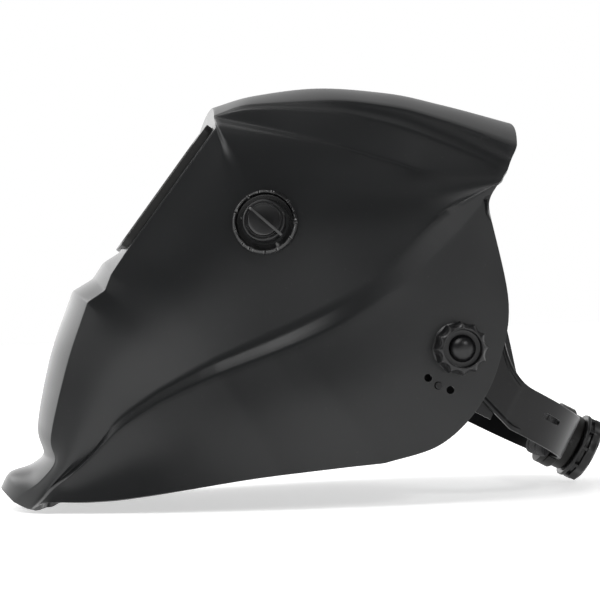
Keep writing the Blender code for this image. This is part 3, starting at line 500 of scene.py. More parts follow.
def moulded(name, colour, edge_wear_and_highlight, roughness, grain=2200.0, depth=0.18, gloss=0.5):
    """Injection-moulded plastic: spark-eroded grain, faint flow marks, dust, and convex edges in
    their own colour: rubbed wear, and on the bezel a painted highlight.
    """
    n = Nodes(name)
    cloud = n.noise(28.0, 4.0, 0.55)
    fine = n.noise(grain, 2.0, 0.5)
    pores = n.voronoi(grain * 0.55)
    flow = n.noise(9.0, 2.0, 0.5, (1.0, 1.0, 2.4))
    dust = n.ranged(n.noise(420.0, 6.0, 0.75), 0.60, 0.78, 0.0, 1.0)
    shade = n.mix(n.ranged(cloud, 0.3, 0.7, 0.0, 1.0), colour, tuple(c * 1.22 for c in colour))
    # convex edges take the edge colour: rubbed wear on most plastics, and on the bezel a painted
    # highlight
    shade = n.mix(n.math("MULTIPLY", n.edges(), 0.5), shade, edge_wear_and_highlight)
    shade = n.mix(n.math("MULTIPLY", dust, 0.10), shade, (0.20, 0.20, 0.20))
    n.give(Base_Color=shade, Specular_IOR_Level=gloss)
    rough = n.ranged(flow, 0.3, 0.7, roughness - 0.035, roughness + 0.035)
    rough = n.math("ADD", rough, n.math("MULTIPLY", fine, 0.05))
    n.give(Roughness=n.math("ADD", rough, n.math("MULTIPLY", dust, 0.08)))
    grainy = n.bump(n.math("ADD", fine, n.math("MULTIPLY", pores, 0.5)), depth, 0.00006)
    n.give(Normal=n.bump(flow, 0.05, 0.0006, grainy))
    return n.material


def clear(name, colour):
    """Polycarbonate with faint wipe marks."""
    n = Nodes(name)
    wipe = n.noise(60.0, 5.0, 0.7, (1.0, 7.0, 1.0))
    smear = n.ranged(n.noise(35.0), 0.35, 0.7, 0.0, 0.35)
    n.give(Base_Color=n.mix(smear, colour, tuple(c * 0.86 for c in colour)),
           Roughness=n.ranged(wipe, 0.35, 0.75, 0.036, 0.108), Transmission_Weight=0.9, IOR=1.58)
    return n.material


def glossy(name, colour, second, roughness, scale):
    """A coated glass or cell surface in two near colours."""
    n = Nodes(name)
    cloud = n.ranged(n.noise(scale, 4.0), 0.35, 0.65, 0.0, 1.0)
    rough = n.ranged(n.noise(scale * 3.0), 0.3, 0.7, roughness * 0.8, roughness * 1.3)
    n.give(Base_Color=n.mix(cloud, colour, second), Roughness=rough,
           Normal=n.bump(n.noise(900.0), 0.05, 0.00004), Coat_Weight=0.6, Coat_Roughness=0.08)
    return n.material


def turned_metal(name, colour):
    """Plated or bare metal with turning lines round X and dull blotches."""
    n = Nodes(name)
    lines = n.noise(220.0, 3.0, 0.5, (1.0, 14.0, 14.0))
    blotch = n.ranged(n.noise(140.0, 4.0), 0.4, 0.75, 0.0, 0.5)
    n.give(Base_Color=n.mix(blotch, colour, tuple(c * 0.62 for c in colour)), Metallic=1.0,
           Roughness=n.ranged(lines, 0.3, 0.7, 0.23, 0.39), Normal=n.bump(lines, 0.12, 0.00005))
    return n.material


def cloth(name, colour, light):
    """Brushed knit over foam: rows of small loops, with pilling."""
    n = Nodes(name)
    wave = n.add("ShaderNodeTexWave", Vector=n.coords, Scale=420.0, Distortion=2.2, Detail=2.0,
                 Detail_Scale=2.0)
    loops = n.voronoi(900.0)
    fuzz = n.noise(1500.0, 4.0, 0.7)
    height = n.math("ADD", n.math("MULTIPLY", wave.outputs["Fac"], 0.6), loops)
    cloud = n.ranged(n.noise(45.0, 4.0), 0.35, 0.7, 0.0, 0.6)
    shade = n.mix(n.math("MULTIPLY", fuzz, 0.8), colour, light)
    n.give(Base_Color=n.mix(cloud, shade, colour), Roughness=n.ranged(fuzz, 0.2, 0.8, 0.82, 1.0),
           Normal=n.bump(n.math("ADD", height, fuzz), 0.6, 0.0004), Sheen_Weight=0.12)
    return n.material


def board_green(name):
    """Solder mask with tracks showing through."""
    n = Nodes(name)
    tracks = n.add("ShaderNodeTexBrick", Vector=n.coords, Scale=160.0,
                   Color1=(0.012, 0.10, 0.035, 1), Color2=(0.018, 0.15, 0.05, 1),
                   Mortar=(0.03, 0.24, 0.09, 1))
    n.give(Base_Color=tracks.outputs["Color"],
           Roughness=n.ranged(n.noise(300.0), 0.3, 0.7, 0.3, 0.5))
    return n.material


def make_materials():
    grey = (0.03, 0.031, 0.032)
    return {
        "shell_black": moulded("shell_plastic", (0.0062, 0.0067, 0.0072), grey, 0.33),
        "knob_black": moulded("knob_plastic", (0.0045, 0.0045, 0.005), (0.09, 0.09, 0.09),
                              0.34, 2600.0),
        # the bezel's pale grey edge colour is a painted highlight along the ring's rim and notch
        # edges
        "bezel": moulded("bezel_plastic", (0.003, 0.003, 0.0033), (0.5, 0.5, 0.5),
                         0.26, 2600.0, 0.08, 0.9),
        "band_black": moulded("band_plastic", (0.007, 0.007, 0.0075), grey,
                              0.27, 1700.0, 0.10, 0.3),
        "housing_black": moulded("housing_plastic", (0.007, 0.0067, 0.006), grey,
                                 0.42, 1900.0, 0.18, 0.3),
        "rubber": moulded("rubber", (0.014, 0.014, 0.014), (0.03, 0.03, 0.03), 0.72, 1500.0, 0.3),
        "cover_lens": clear("cover_lens", (0.93, 0.96, 0.95)),
        "filter_glass": glossy("filter_glass", (0.02, 0.13, 0.08), (0.03, 0.20, 0.10), 0.05, 20.0),
        "lcd": glossy("lcd", (0.010, 0.016, 0.010), (0.016, 0.026, 0.014), 0.07, 30.0),
        "solar": glossy("solar_cell", (0.010, 0.010, 0.030), (0.020, 0.014, 0.050), 0.12, 90.0),
        "sensor": glossy("sensor_dome", (0.020, 0.004, 0.008), (0.035, 0.006, 0.012), 0.06, 60.0),
        "board": board_green("board_green"),
        "steel": turned_metal("zinc_steel", (0.60, 0.60, 0.61)),
        "brass": turned_metal("turned_brass", (0.66, 0.48, 0.20)),
        "sweatband": cloth("sweatband_knit", (0.010, 0.010, 0.011), (0.030, 0.030, 0.033)),
    }


# ------------ shell

def slopes_through(values):
    steps = [b - a for a, b in zip(values, values[1:])]
    slopes = [steps[0]]
    for before, after in zip(steps, steps[1:]):
        even = before * after > 0.0
        slopes.append(2.0 * before * after / (before + after) if even else 0.0)
    slopes.append(steps[-1])
    return slopes


def curve_points(points, places):
    """Points on the smooth line through the given ones, at places counted in its points."""
    columns = np.array(points, float).T
    run = np.zeros((len(places), len(columns)))
    for k, values in enumerate(columns):
        slopes = slopes_through(list(values))
        for row, place in enumerate(places):
            i = min(int(place), len(values) - 2)
            t = place - i
            run[row, k] = ((2 * t**3 - 3 * t**2 + 1) * values[i]
                           + (t**3 - 2 * t**2 + t) * slopes[i]
                           + (-2 * t**3 + 3 * t**2) * values[i + 1]
                           + (t**3 - t**2) * slopes[i + 1])
    return run


def run_places(first, last, per_station):
    """Places along one smooth run, with a row close to each end for the crease there."""
    lengths = [(Vector(b) - Vector(a)).length
               for a, b in zip(CENTRE_LINE[first:last], CENTRE_LINE[first + 1:last + 1])]
    count = last - first
    places = [i / per_station for i in range(count * per_station)]
    if first > 0:
        places.insert(1, CORNER_INSET / lengths[0])
    if last < len(CENTRE_LINE) - 1:
        places.append(count - CORNER_INSET / lengths[-1])
    return places


def fine_rails():
    """Every shell line at every row, as arrays, and the rows that lie on a corner."""
    lines = (CENTRE_LINE, FACE_EDGE, LEDGE_FOOT, BROW_TOP, BROW_LINE, PANEL_LINE, SWOOSH_TOP,
             SWOOSH_FOOT, CHEEK_LINE, RIM_LINE)
    corners = []
    rails = [[] for _ in lines]
    rows = 0
    for first, last, per_station in RUNS:
        places = run_places(first, last, per_station)
        if first > 0:
            corners.append(rows)
        rows += len(places)
        for rail, line in zip(rails, lines):
            rail.append(curve_points(line[first:last + 1], places))
    for rail, line in zip(rails, lines):
        rail.append(np.array([line[-1]], float))
    return [np.vstack(rail) for rail in rails], corners


def blend_rows(a, b, shares):
    return [a + (b - a) * share for share in shares]


def three_way(a, b, c, count):
    """Columns on the smooth lines through three rails: count steps in each half."""
    places = [i / count for i in range(1, 2 * count)]
    stacked = np.stack([curve_points([a[r], b[r], c[r]], places) for r in range(len(a))])
    return [stacked[:, i] for i in range(stacked.shape[1])]


def fair(grid, first, last, times, weight=1.0):
    """Even out the grid between two columns, each row as much as its weight says."""
    share = 0.5 * weight
    for _ in range(times):
        around = (grid[:-2, first:last] + grid[2:, first:last]
                  + grid[1:-1, first - 1:last - 1] + grid[1:-1, first + 1:last + 1]) / 4.0
        grid[1:-1, first:last] = (1.0 - share) * grid[1:-1, first:last] + share * around


def shell_grid():
    """The left half's outer skin as rows x columns x 3, from the middle plane to the rim."""
    rails, corners = fine_rails()
    centre, edge, foot, brow_top, brow, panel, top, swoosh, cheek, rim = rails
    columns = []
    creases = []
    for i in (*range(FACE_COLUMNS), FACE_LAST_COLUMN):
        share = i / FACE_COLUMNS
        bend = share ** FACE_BEND
        column = centre + (edge - centre) * bend
        column[:, 0] = edge[:, 0] * share
        columns.append(column)

    def crease(line):
        creases.append(len(columns))
        columns.append(line)

    crease(edge)
    width = np.linalg.norm(foot - edge, axis=1)
    for share in (0.15, 0.4, 0.7, 0.9):
        column = edge + (foot - edge) * share
        column[:, 0] -= LEDGE_HOLLOW * width * math.sin(math.pi * share)
        columns.append(column)
    crease(foot)
    columns.extend(blend_rows(foot, brow_top, (0.1, 0.3, 0.5, 0.7, 0.9)))
    crease(brow_top)
    columns.extend(blend_rows(brow_top, brow, (0.2, 0.5, 0.8)))
    crease(brow)
    panel_start = len(columns)
    columns.extend(three_way(brow, panel, top, 10))
    panel_end = len(columns)
    crease(top)
    columns.extend(blend_rows(top, swoosh, (0.12, 0.35, 0.6, 0.88)))
    crease(swoosh)
    cheek_start = len(columns)
    columns.append(swoosh + (cheek - swoosh) * 0.03)
    columns.extend(three_way(swoosh, cheek, rim, 9))
    cheek_end = len(columns)
    columns.append(rim + (columns[-1] - rim) * 0.16)
    columns.append(rim)
    grid = np.stack(columns, axis=1)
    for row in corners:
        grid[row] = 0.5 * grid[row] + 0.25 * (grid[row - 1] + grid[row + 1])
    for k in creases:
        grid[:, k] = 0.5 * grid[:, k] + 0.25 * (grid[:, k - 1] + grid[:, k + 1])
    foot_column, top_column = creases[1], creases[-2]
    fair(grid, panel_start + 1, top_column + 1, PANEL_PASSES)
    fair(grid, cheek_start + 1, cheek_end, CHEEK_PASSES)
    fade = np.clip((np.arange(len(grid)) - BROW_FADE_ROW) / BROW_FADE_ROWS, 0.0, 1.0)
    fair(grid, foot_column + 2, panel_end, FADE_PASSES, fade[1:-1, None, None])
    return grid


def grid_normals(grid):
    """The skin's outward normals, told from inward ones by a point inside the shell."""
    along = np.gradient(grid, axis=0)
    across = np.gradient(grid, axis=1)
    normals = np.cross(along, across)
    normals /= np.linalg.norm(normals, axis=2, keepdims=True) + 1e-12
    if (normals * (grid - np.array(SHELL_HEART))).sum() < 0.0:
        normals = -normals
    return normals


def smoothed(values, times):
    for _ in range(times):
        padded = np.pad(values, ((1, 1), (1, 1), (0, 0)), mode="edge")
        values = (2.0 * padded[1:-1, 1:-1] + padded[:-2, 1:-1] + padded[2:, 1:-1]
                  + padded[1:-1, :-2] + padded[1:-1, 2:]) / 6.0
    return values


def shell_mesh():
    half = shell_grid()
    mirror = half[:, :0:-1] * np.array((-1.0, 1.0, 1.0))
    outer = np.concatenate([mirror, half], axis=1)
    normals = smoothed(grid_normals(outer), 6)
    normals /= np.linalg.norm(normals, axis=2, keepdims=True)
    inner = outer - normals * SHELL_WALL
    middle = smoothed(inner, 5)
    inner[2:-2, 3:-3] = middle[2:-2, 3:-3]
    rows, cols = outer.shape[:2]
    verts = np.concatenate([outer.reshape(-1, 3), inner.reshape(-1, 3)])
    start = rows * cols
    faces = []
    for r in range(rows - 1):
        for c in range(cols - 1):
            a, b = r * cols + c, r * cols + c + 1
            d, e = a + cols, b + cols
            faces.append((a, b, e, d))
            faces.append((start + d, start + e, start + b, start + a))
    border = [(0, c) for c in range(cols)] + [(r, cols - 1) for r in range(1, rows)]
    border += [(rows - 1, c) for c in range(cols - 2, -1, -1)]
    border += [(r, 0) for r in range(rows - 2, 0, -1)]
    index = [r * cols + c for r, c in border]
    for i, here in enumerate(index):
        ahead = index[(i + 1) % len(index)]
        faces.append((ahead, here, start + here, start + ahead))
    mesh = bpy.data.meshes.new("shell")
    mesh.from_pydata([tuple(v) for v in verts], [], faces)
    return joined([mesh])


def along_x(mesh, side, start, y=PIVOT.y, z=PIVOT.z):
    return moved(mesh, frame_from(Vector((side * start, y, z)), (0, 1, 0), (side, 0, 0)))


def build_shell(material):
    adds = [moved(slab(circle(SHADE_PAD_RADIUS, 64), -4.0, SHADE_PAD_RISE), shade_frame())]
    window = slab(rounded_box(*WINDOW_SIZE, radius=7.0), -CUT_DEPTH, CUT_DEPTH)
    cuts = [moved(window, window_frame()),
            moved(slab(circle(SHADE_HOLE_RADIUS, 32), -14.0, 14.0), shade_frame())]
    start = PIVOT_FACE - CUT_DEPTH / 2
    for side in (1, -1):
        pad = spun([(0, 0), (PIVOT_PAD_RADIUS, 0), (PIVOT_PAD_RADIUS, PIVOT_PAD_DEPTH - 1),
                    (PIVOT_PAD_RADIUS - 1, PIVOT_PAD_DEPTH), (0, PIVOT_PAD_DEPTH)], 64)
        adds.append(along_x(pad, side, PIVOT_FACE - PIVOT_PAD_DEPTH))
        cuts.append(along_x(slab(circle(PIVOT_HOLE_RADIUS, 40), 0.0, CUT_DEPTH), side, start))
        for angle in TILT_HOLE_ANGLES:
            turn = math.radians(angle)
            cuts.append(along_x(slab(circle(TILT_HOLE_RADIUS, 28), 0.0, CUT_DEPTH), side, start,
                                PIVOT.y + TILT_HOLE_ORBIT * math.cos(turn),
                                PIVOT.z + TILT_HOLE_ORBIT * math.sin(turn)))
    mesh = combine(shell_mesh(), [joined(adds)], [joined(cuts)])
    piece("outer_shell", mesh, "shell", material, ["helmet_shell"], sharp=34.0)


# ------------ shade control

def build_shade_control(material, ring_material):
    place = shade_frame()
    foot = SHADE_PAD_RISE + 0.3
    rim = SHADE_RING_RADIUS
    profile = rounded([(SHADE_RING_BORE, foot, 0.2), (rim, foot, 0.3), (rim, foot + 2.3, 0.2),
                       (rim - 0.95, foot + 3.5, 0.3), (rim - 1.15, foot + 3.7, 0.2),
                       (rim - 1.75, foot + 3.7, 0.2), (rim - 2.4, foot + 0.5, 0.5),
                       (SHADE_RING_BORE, foot + 0.4, 0.2)])
    ring = spun(profile, 144)
    notches = []
    for i, angle in enumerate(SHADE_NOTCH_ANGLES):
        width = SHADE_NOTCH_WIDTHS[i % len(SHADE_NOTCH_WIDTHS)]
        notch = slab(rounded_box(5.2, width, 0.3, (rim - 0.4, 0.0), 3), foot + 1.7, 9.0)
        notches.append(moved(notch, Matrix.Rotation(math.radians(angle), 4, "Z")))
    piece("shade_bezel", combine(ring, cuts=[joined(notches)]), "shell", ring_material,
          ["shade_knob_bezel"], place, sharp=30.0)

    r = SHADE_KNOB_RADIUS
    profile = rounded([(0, 7.0), (0, 4.6), (7.4, 4.6, 0.2), (7.4, foot, 0.1), (r, foot, 0.3),
                       (r, 8.2, 0.3), (r - 0.6, 8.9, 0.25), (r - 1.2, 8.9, 0.2),
                       (r - 1.6, 8.2, 0.2), (10.1, 8.2, 0.15), (9.9, 8.8, 0.2), (9.4, 8.8, 0.2),
                       (9.2, 8.4, 0.1)])
    cap = spun(profile, 96)
    turn = Matrix.Rotation(math.radians(POINTER_TURN), 4, "Z")
    # the pointer ridge, the slope that falls from it to one side, and the stem
    ridge = lofted([[(x, -0.8, low), (x, 0.8, low), (x, 0.8, high - 0.3), (x, 0.5, high),
                     (x, -0.5, high - 0.25), (x, -0.8, high - 0.5)]
                    for x, low, high in ((-11.0, 7.6, 9.3), (-9.6, 7.6, 10.5), (0.0, 7.6, 11.3),
                                         (10.5, 7.6, 11.2), (12.9, 7.6, 10.6), (13.9, 7.9, 9.7))])
    adds = [moved(ridge, turn), moved(half_dome(9.0, 7.6, 8.7, 10.6), turn),
            slab(circle(SHADE_STEM_RADIUS, 24), -4.0, 6.0)]
    piece("shade_dial", combine(cap, adds), "shade_knob", material, ["shade_knob"],
          place, sharp=30.0)


def half_dome(radius, base, low, high):
    """A half disc whose face falls from its straight side, at y = 0, to its round edge at -Y."""
    bm = bmesh.new()
    steps, rings = 24, 6
    top = []
    for k in range(rings + 1):
        share = k / rings
        row = []
        for i in range(steps + 1):
            angle = math.pi + math.pi * i / steps
            x, y = radius * math.cos(angle), radius * share * math.sin(angle)
            fall = max(0.0, -y / radius) ** 1.6
            row.append(bm.verts.new((x, y, high + (low - high) * fall - 0.35 * (x / radius) ** 4)))
        top.append(row)
    for here, ahead in zip(top, top[1:]):
        for i in range(steps):
            a, b, c, d = here[i], here[i + 1], ahead[i + 1], ahead[i]
            if (a.co - d.co).length < TINY:
                bm.faces.new((a, b, c))
            elif (b.co - c.co).length < TINY:
                bm.faces.new((a, b, d))
            else:
                bm.faces.new((a, b, c, d))
    bmesh.ops.remove_doubles(bm, verts=bm.verts[:], dist=10.0 * TINY)
    return closed_to(bm, base)


# ------------ tension knobs

def build_tension_knobs(material):
    top = KNOB_HEIGHT

    def lobes(radius, height, angle):
        if radius < KNOB_CORE_RADIUS:
            return radius, height
        phase = (angle * KNOB_LOBES / (2.0 * math.pi)) % 1.0
        scoop = math.sin(math.pi * phase) ** 0.9
        share = min(1.0, (radius - KNOB_CORE_RADIUS) / 2.2)
        low = 0.5 + 0.5 * min(1.0, max(0.0, (height - 3.0) / 4.0))
        drop = 0.5 * scoop * share * (height > 9.0)
        return radius - KNOB_LOBE_DEPTH * scoop * share * low, height - drop

    profile = rounded([(0, 6.8), (4.3, 6.8), (4.3, 2.0), (7.4, 2.0), (7.4, 0.6),
                       (13.6, 0.4, 0.4), (15.0, 1.4, 0.8), (KNOB_RADIUS, 6.0, 1.0),
                       (KNOB_RADIUS - 0.2, top - 3.4, 0.9), (14.2, top - 1.4, 0.6),
                       (11.6, top - 0.1, 0.45), (10.9, top - 0.2, 0.35), (10.7, 11.2, 0.6),
                       (7.5, 11.2, 0.6), (7.2, top - 2.6, 0.5), (6.3, top - 1.1, 0.8),
                       (4.6, top + 0.4, 1.2), (2.4, top + 1.3, 1.2), (0, top + 1.5)])
    for side, word in ((1, "left"), (-1, "right")):
        piece("tension_grip_" + word, spun(profile, KNOB_LOBES * 16, lobes),
              "tension_knob_" + word, material, ["tension_knob_" + word],
              pivot_frame(side), sharp=48.0)


# ------------ headgear

def quarter(centre, reach_x, reach_y, first, last, steps):
    points = []
    for i in range(steps + 1):
        angle = math.radians(first + (last - first) * i / steps)
        points.append((centre[0] + reach_x * math.cos(angle),
                       centre[1] + reach_y * math.sin(angle)))
    return points


def outward_at(path, i):
    ahead = Vector(path[min(i + 1, len(path) - 1)])
    behind = Vector(path[max(i - 1, 0)])
    along = (ahead - behind).normalized()
    return Vector((along.y, -along.x))


def bump_at(distance, centre, half_width):
    share = abs(distance - centre) / half_width
    return 0.0 if share >= 1.0 else (math.cos(math.pi * share) + 1.0) / 2.0


def eased(value, low, high):
    share = min(1.0, max(0.0, (value - low) / (high - low)))
    return share * share * (3.0 - 2.0 * share)


def strap_relief(y, below_top, above_foot):
    """How far the strap's outer face stands out: ribs under its upper edge, a lip and a nub."""
    flared = 1.0 - eased(y, 29.0, 33.0)
    ribs = 0.55 * bump_at(below_top, 1.3, 0.9) + 0.5 * bump_at(below_top, 3.6, 0.8)
    lip = (1.0 - eased(above_foot, 1.6, 3.0)) * (1.0 - eased(y, 33.5, 36.5))
    nub = 1.3 * (1.0 - eased(above_foot, 2.4, 3.2)) * eased(y, 33.0, 34.2)
    nub *= 1.0 - eased(y, 38.6, 40.6)
    return (ribs + 0.8) * flared + max(lip, nub)


def build_rear_strap(name, side, layer, material, replaces):
    """One half of the rear band, from its rivets round to the ratchet, where the two overlap."""
    rear = LOOP_REAR + layer
    path = [(STRAP_SIDE, STRAP_START + i * 0.9) for i in range(31)]
    path += quarter((STRAP_TAIL, STRAP_BEND), STRAP_SIDE - STRAP_TAIL, rear - STRAP_BEND,
                    0.0, 90.0, 44)
    path += [(STRAP_TAIL - 8.0 * i, rear) for i in range(1, 8)]
    shares = [0.0, 0.5, 0.9, 1.3, 1.7, 2.1, 2.6, 3.1, 3.6, 4.1, 4.6]
    sections = []
    for i, (x, y) in enumerate(path):
        rise = max(0.0, (STRAP_BEND + 6.0 - y) / STRAP_BEND)
        high = STRAP_HALF_WIDTH + STRAP_FLARE * rise * rise
        low = -STRAP_HALF_WIDTH + STRAP_LIFT * max(0.0, STRAP_BEND + 3.4 - y)
        levels = [low + s * 0.75 for s in shares]
        levels += [low + 3.45 + (high - low - 8.6) * k / 9.0 for k in range(1, 9)]
        levels += [high - s * 1.08 for s in reversed(shares)]
        out = outward_at(path, i)
        section = []
        for z in levels:
            relief = strap_relief(y, high - z, z - low) if y < STRAP_RELIEF_END else 0.0
            edge = min(high - z, z - low)
            stand = BAND_THICKNESS + relief - 0.5 * (1.0 - min(1.0, edge / 0.5)) ** 2
            section.append((x + out.x * stand, y + out.y * stand, z))
        sections.append(section + [(x, y, z) for z in reversed(levels)])
    # the long slot before the ratchet, where the strap turns, and the one for the pinion
    slot = moved(slab(rounded_box(15.0, 3.6, 1.7), -12.0, 12.0),
                 frame_from(Vector((77.0, 55.2, 3.3)), (-0.45, 0.89, 0.0), (0.89, 0.45, 0.0)))
    opening = rounded_box(STRAP_TAIL * 2.0 + 8.0, 11.2, 2.0, (STRAP_TAIL / 2 - 4.0, 0.0))
    rack = moved(slab(opening, -6.0, 8.0), Matrix.Translation((0.0, LOOP_REAR, 0.0))
                 @ Matrix.Rotation(math.pi / 2, 4, "X"))
    mesh = combine(lofted(sections), cuts=[slot, rack])
    if side < 0:
        moved(mesh, Matrix.Scale(-1.0, 4, (1, 0, 0)))
    piece(name, mesh, "rear_band", material, replaces, loop_frame(), sharp=40.0)


def build_ratchet(materials):
    place = ratchet_frame()
    foot = RATCHET_KNOB_FOOT
    flange = RATCHET_FLANGE_RADIUS
    drum = RATCHET_DRUM_RADIUS
    profile = rounded([(0, -0.4), (flange - 0.8, -0.4, 0.3), (flange, 0.4, 0.3),
                       (flange, 5.0, 0.4), (flange - 0.8, 6.0, 0.4), (drum + 0.2, 6.3, 0.5),
                       (drum, foot - 1.6, 0.4), (drum - 0.7, foot - 0.5, 0.3),
                       (0, foot - 0.5)])
    channel = slab(rounded_box(90.0, 2 * STRAP_HALF_WIDTH + 1.2, 0.5), -2.0, 4.8)
    hole = slab(circle(3.3, 32), -1.0, foot + 2.0)
    # a square nub over each mouth of the channel
    nubs = [slab(rounded_box(3.0, 3.0, 0.6, (side * (flange - 0.6), 0.0), 3), 4.9, 8.4)
            for side in (1, -1)]
    piece("ratchet_body", combine(spun(profile, 120), nubs, [channel, hole]), "rear_band",
          materials["housing_black"], ["ratchet_housing"], place, sharp=32.0)

    top = foot + RATCHET_KNOB_DEPTH
    big = RATCHET_RADIUS

    def facets(radius, height, angle):
        if radius < RATCHET_CORE_RADIUS:
            return radius, height
        phase = (angle * RATCHET_FACETS / (2.0 * math.pi)) % 1.0
        dip = math.sin(math.pi * phase) ** 1.5
        strength = 1.5 if height > foot + 4.5 else 0.4
        return radius - strength * dip * min(1.0, radius - RATCHET_CORE_RADIUS), height

    profile = rounded([(0, foot + 0.4), (0, top - 3.0), (14.0, top - 3.0, 0.6),
                       (15.2, top - 0.5, 0.5), (15.8, top, 0.3), (18.4, top, 0.5),
                       (big, top - 1.4, 0.5), (big, top - 5.6, 0.4), (big - 0.8, top - 6.1, 0.2),
                       (18.0, top - 6.1, 0.3), (17.8, foot + 2.4, 0.3),
                       (big - 0.6, foot + 2.4, 0.2), (big, foot + 2.0, 0.3),
                       (big, foot + 0.6, 0.3), (big - 0.6, foot, 0.2), (8.0, foot, 0.2)])
    ribs = []
    for i in range(RATCHET_FACETS):
        rib = slab(rounded_box(3.4, 2.2, 0.5, (18.7, 0.0), 3), foot + 1.6, top - 4.0)
        ribs.append(moved(rib, Matrix.Rotation(2.0 * math.pi * i / RATCHET_FACETS, 4, "Z")))
    axle = slab(circle(AXLE_RADIUS, 32), -0.1, foot + 2.0)
    piece("ratchet_grip", combine(spun(profile, 160, facets), [*ribs, axle]), "ratchet_knob",
          materials["knob_black"], ["ratchet_knob"], place, sharp=32.0)


def forehead_path():
    """The line round the forehead's inside that the sweatband is glued to, left to right."""
    side, front = LOOP_SIDE - FOREHEAD_INSET, LOOP_FRONT + FOREHEAD_INSET
    left = quarter((FOREHEAD_CORNER, FOREHEAD_BEND), side - FOREHEAD_CORNER,
                   FOREHEAD_BEND - front, -12.0, -90.0, 64)
    return left + [(-x, y) for x, y in reversed(left)]


def valley(distance, width):
    """1 in the middle of a stitched line and 0 away from it."""
    return math.exp(-(distance / width) ** 2)


def build_sweatband(material):
    """Crowned across, with rounded ends, a seam along each edge and stitched valleys."""
    path = forehead_path()
    lengths = [0.0]
    for a, b in zip(path, path[1:]):
        lengths.append(lengths[-1] + (Vector(b) - Vector(a)).length)
    levels = 22
    shares = [-1.0 + 2.0 * k / (levels - 1) for k in range(levels)]
    sections = []
    for i, ((x, y), run) in enumerate(zip(path, lengths)):
        out = outward_at(path, i)
        end = min(run, lengths[-1] - run)
        tip = math.sqrt(max(0.0, 1.0 - (1.0 - min(1.0, end / 5.0)) ** 2))
        half_pitch = STITCH_PITCH / 2
        stitch = valley((run + half_pitch) % STITCH_PITCH - half_pitch, 1.5)
        half = SWEATBAND_HALF_WIDTH * (0.80 + 0.20 * tip) - 0.5 * stitch
        section = []
        for across in shares:
            crown = 1.0 - abs(across) ** 3.2
            depth = 0.9 + SWEATBAND_CROWN * crown * (0.25 + 0.75 * tip)
            depth -= 1.9 * stitch * crown + 0.55 * valley(abs(across) - 0.86, 0.035)
            section.append((x + out.x * depth, y + out.y * depth, across * half))
        back = [(x, y, shares[k] * (half - 0.3)) for k in reversed(range(0, levels, 3))]
        sections.append(section + back)
    band = piece("sweatband_pad", lofted(sections), "headgear", material,
                 ["sweatband"], loop_frame(), sharp=70.0)


def build_nape_pad(material):
    """A cushion drawn in between its corners, with a seam all round and two sewn channels."""
    width, height, thick = NAPE_PAD_SIZE
    across, up = 44, 30
    bm = bmesh.new()
    grid = []
    for j in range(up + 1):
        row = []
        for i in range(across + 1):
            u, v = -1.0 + 2.0 * i / across, -1.0 + 2.0 * j / up
            pull = 1.0 - 0.035 * (1.0 - v * v) * abs(u) ** 3
            lift = 1.0 - 0.05 * (1.0 - u * u) * abs(v) ** 3
            corner = 1.0 - 0.10 * (abs(u) * abs(v)) ** 3
            crown = (1.0 - abs(u) ** 4) * (1.0 - abs(v) ** 4)
            channel = valley(u + 0.34, 0.035) + valley(u - 0.34, 0.035)
            seam = valley(max(abs(u), abs(v)) - 0.90, 0.03)
            z = 0.8 + (thick - 0.8) * crown ** 0.55 - 1.6 * channel * crown - 0.5 * seam
            row.append(bm.verts.new((u * width / 2 * pull * corner, v * height / 2 * lift * corner,
                                     NAPE_PAD_BACK - z)))
        grid.append(row)
    for here, ahead in zip(grid, grid[1:]):
        for i in range(across):
            bm.faces.new((here[i], here[i + 1], ahead[i + 1], ahead[i]))
    pad = piece("nape_pad", closed_to(bm, NAPE_PAD_BACK - 0.05), "rear_band", material,
                ["rear_pad"], ratchet_frame(), sharp=70.0)


# ------------ CAD nodes that stay

# The nodes that keep their CAD meshes, by how many millimetres their edges are rounded
KEPT_EDGES = {
    0.5: ("front_lens_frame",),
    0.4: ("front_headband", "crown_strap_left", "crown_strap_right", "ratchet_cover"),
    0.35: ("cartridge_holder", "holder_latch", "cartridge_front_housing",
           "cartridge_rear_cover"),
    0.3: ("battery_door", "knob_nut_left", "knob_nut_right", "tilt_limit_plate_left",
          "tilt_limit_plate_right", "crown_strap_peg"),
    0.25: ("front_cover_lens", "shade_potentiometer", "potentiometer_nut"),
    0.2: ("inner_cover_lens", "sensitivity_dial", "delay_dial", "pivot_bolt_left",
          "pivot_bolt_right", "friction_washer_left", "friction_washer_right", "ratchet_pinion",
          "strap_rivet_left_lower", "strap_rivet_left_upper", "strap_rivet_right_lower",
          "strap_rivet_right_upper"),
    0.15: ("coin_battery", "uv_ir_filter_glass", "lcd_shutter", "solar_panel"),
    0.1: ("circuit_board", "arc_sensor_left", "arc_sensor_right"),
}


def finish_kept_nodes(materials):
    slots = {part["node"]: part["material_slot"] for part in frame["record"]["subparts"]}
    for width, names in KEPT_EDGES.items():
        for name in names:
            node = frame["nodes"][name]
            for slot in node.material_slots:
                slot.material = materials[slots[name]]
            soften(node, width)


# ------------ studio

def build_camera():
    """Seen from the wearer's left and a little from the front, rolled as the photograph is."""
    distance, azimuth, roll = 1300.0, math.radians(6.5), math.radians(2.2)
    focal, picture, height = 2105.0, 600.0, 115.0      # the first two in picture elements
    ca, sa = math.cos(azimuth), math.sin(azimuth)
    place = (Vector((distance * ca, -distance * sa, height)) - FOOT) * MM
    right, up, ahead = Vector((sa, ca, 0)), Vector((0, 0, 1)), Vector((-ca, sa, 0))
    x_axis = right * math.cos(roll) - up * math.sin(roll)
    y_axis = right * math.sin(roll) + up * math.cos(roll)
    lens = bpy.data.cameras.new("camera")
    lens.sensor_width = 36.0
    lens.lens = lens.sensor_width * focal / picture
    camera = placed("camera", lens)
    matrix = Matrix((x_axis, y_axis, -ahead)).transposed().to_4x4()
    matrix.translation = place
    camera.matrix_world = matrix
    bpy.context.scene.camera = camera


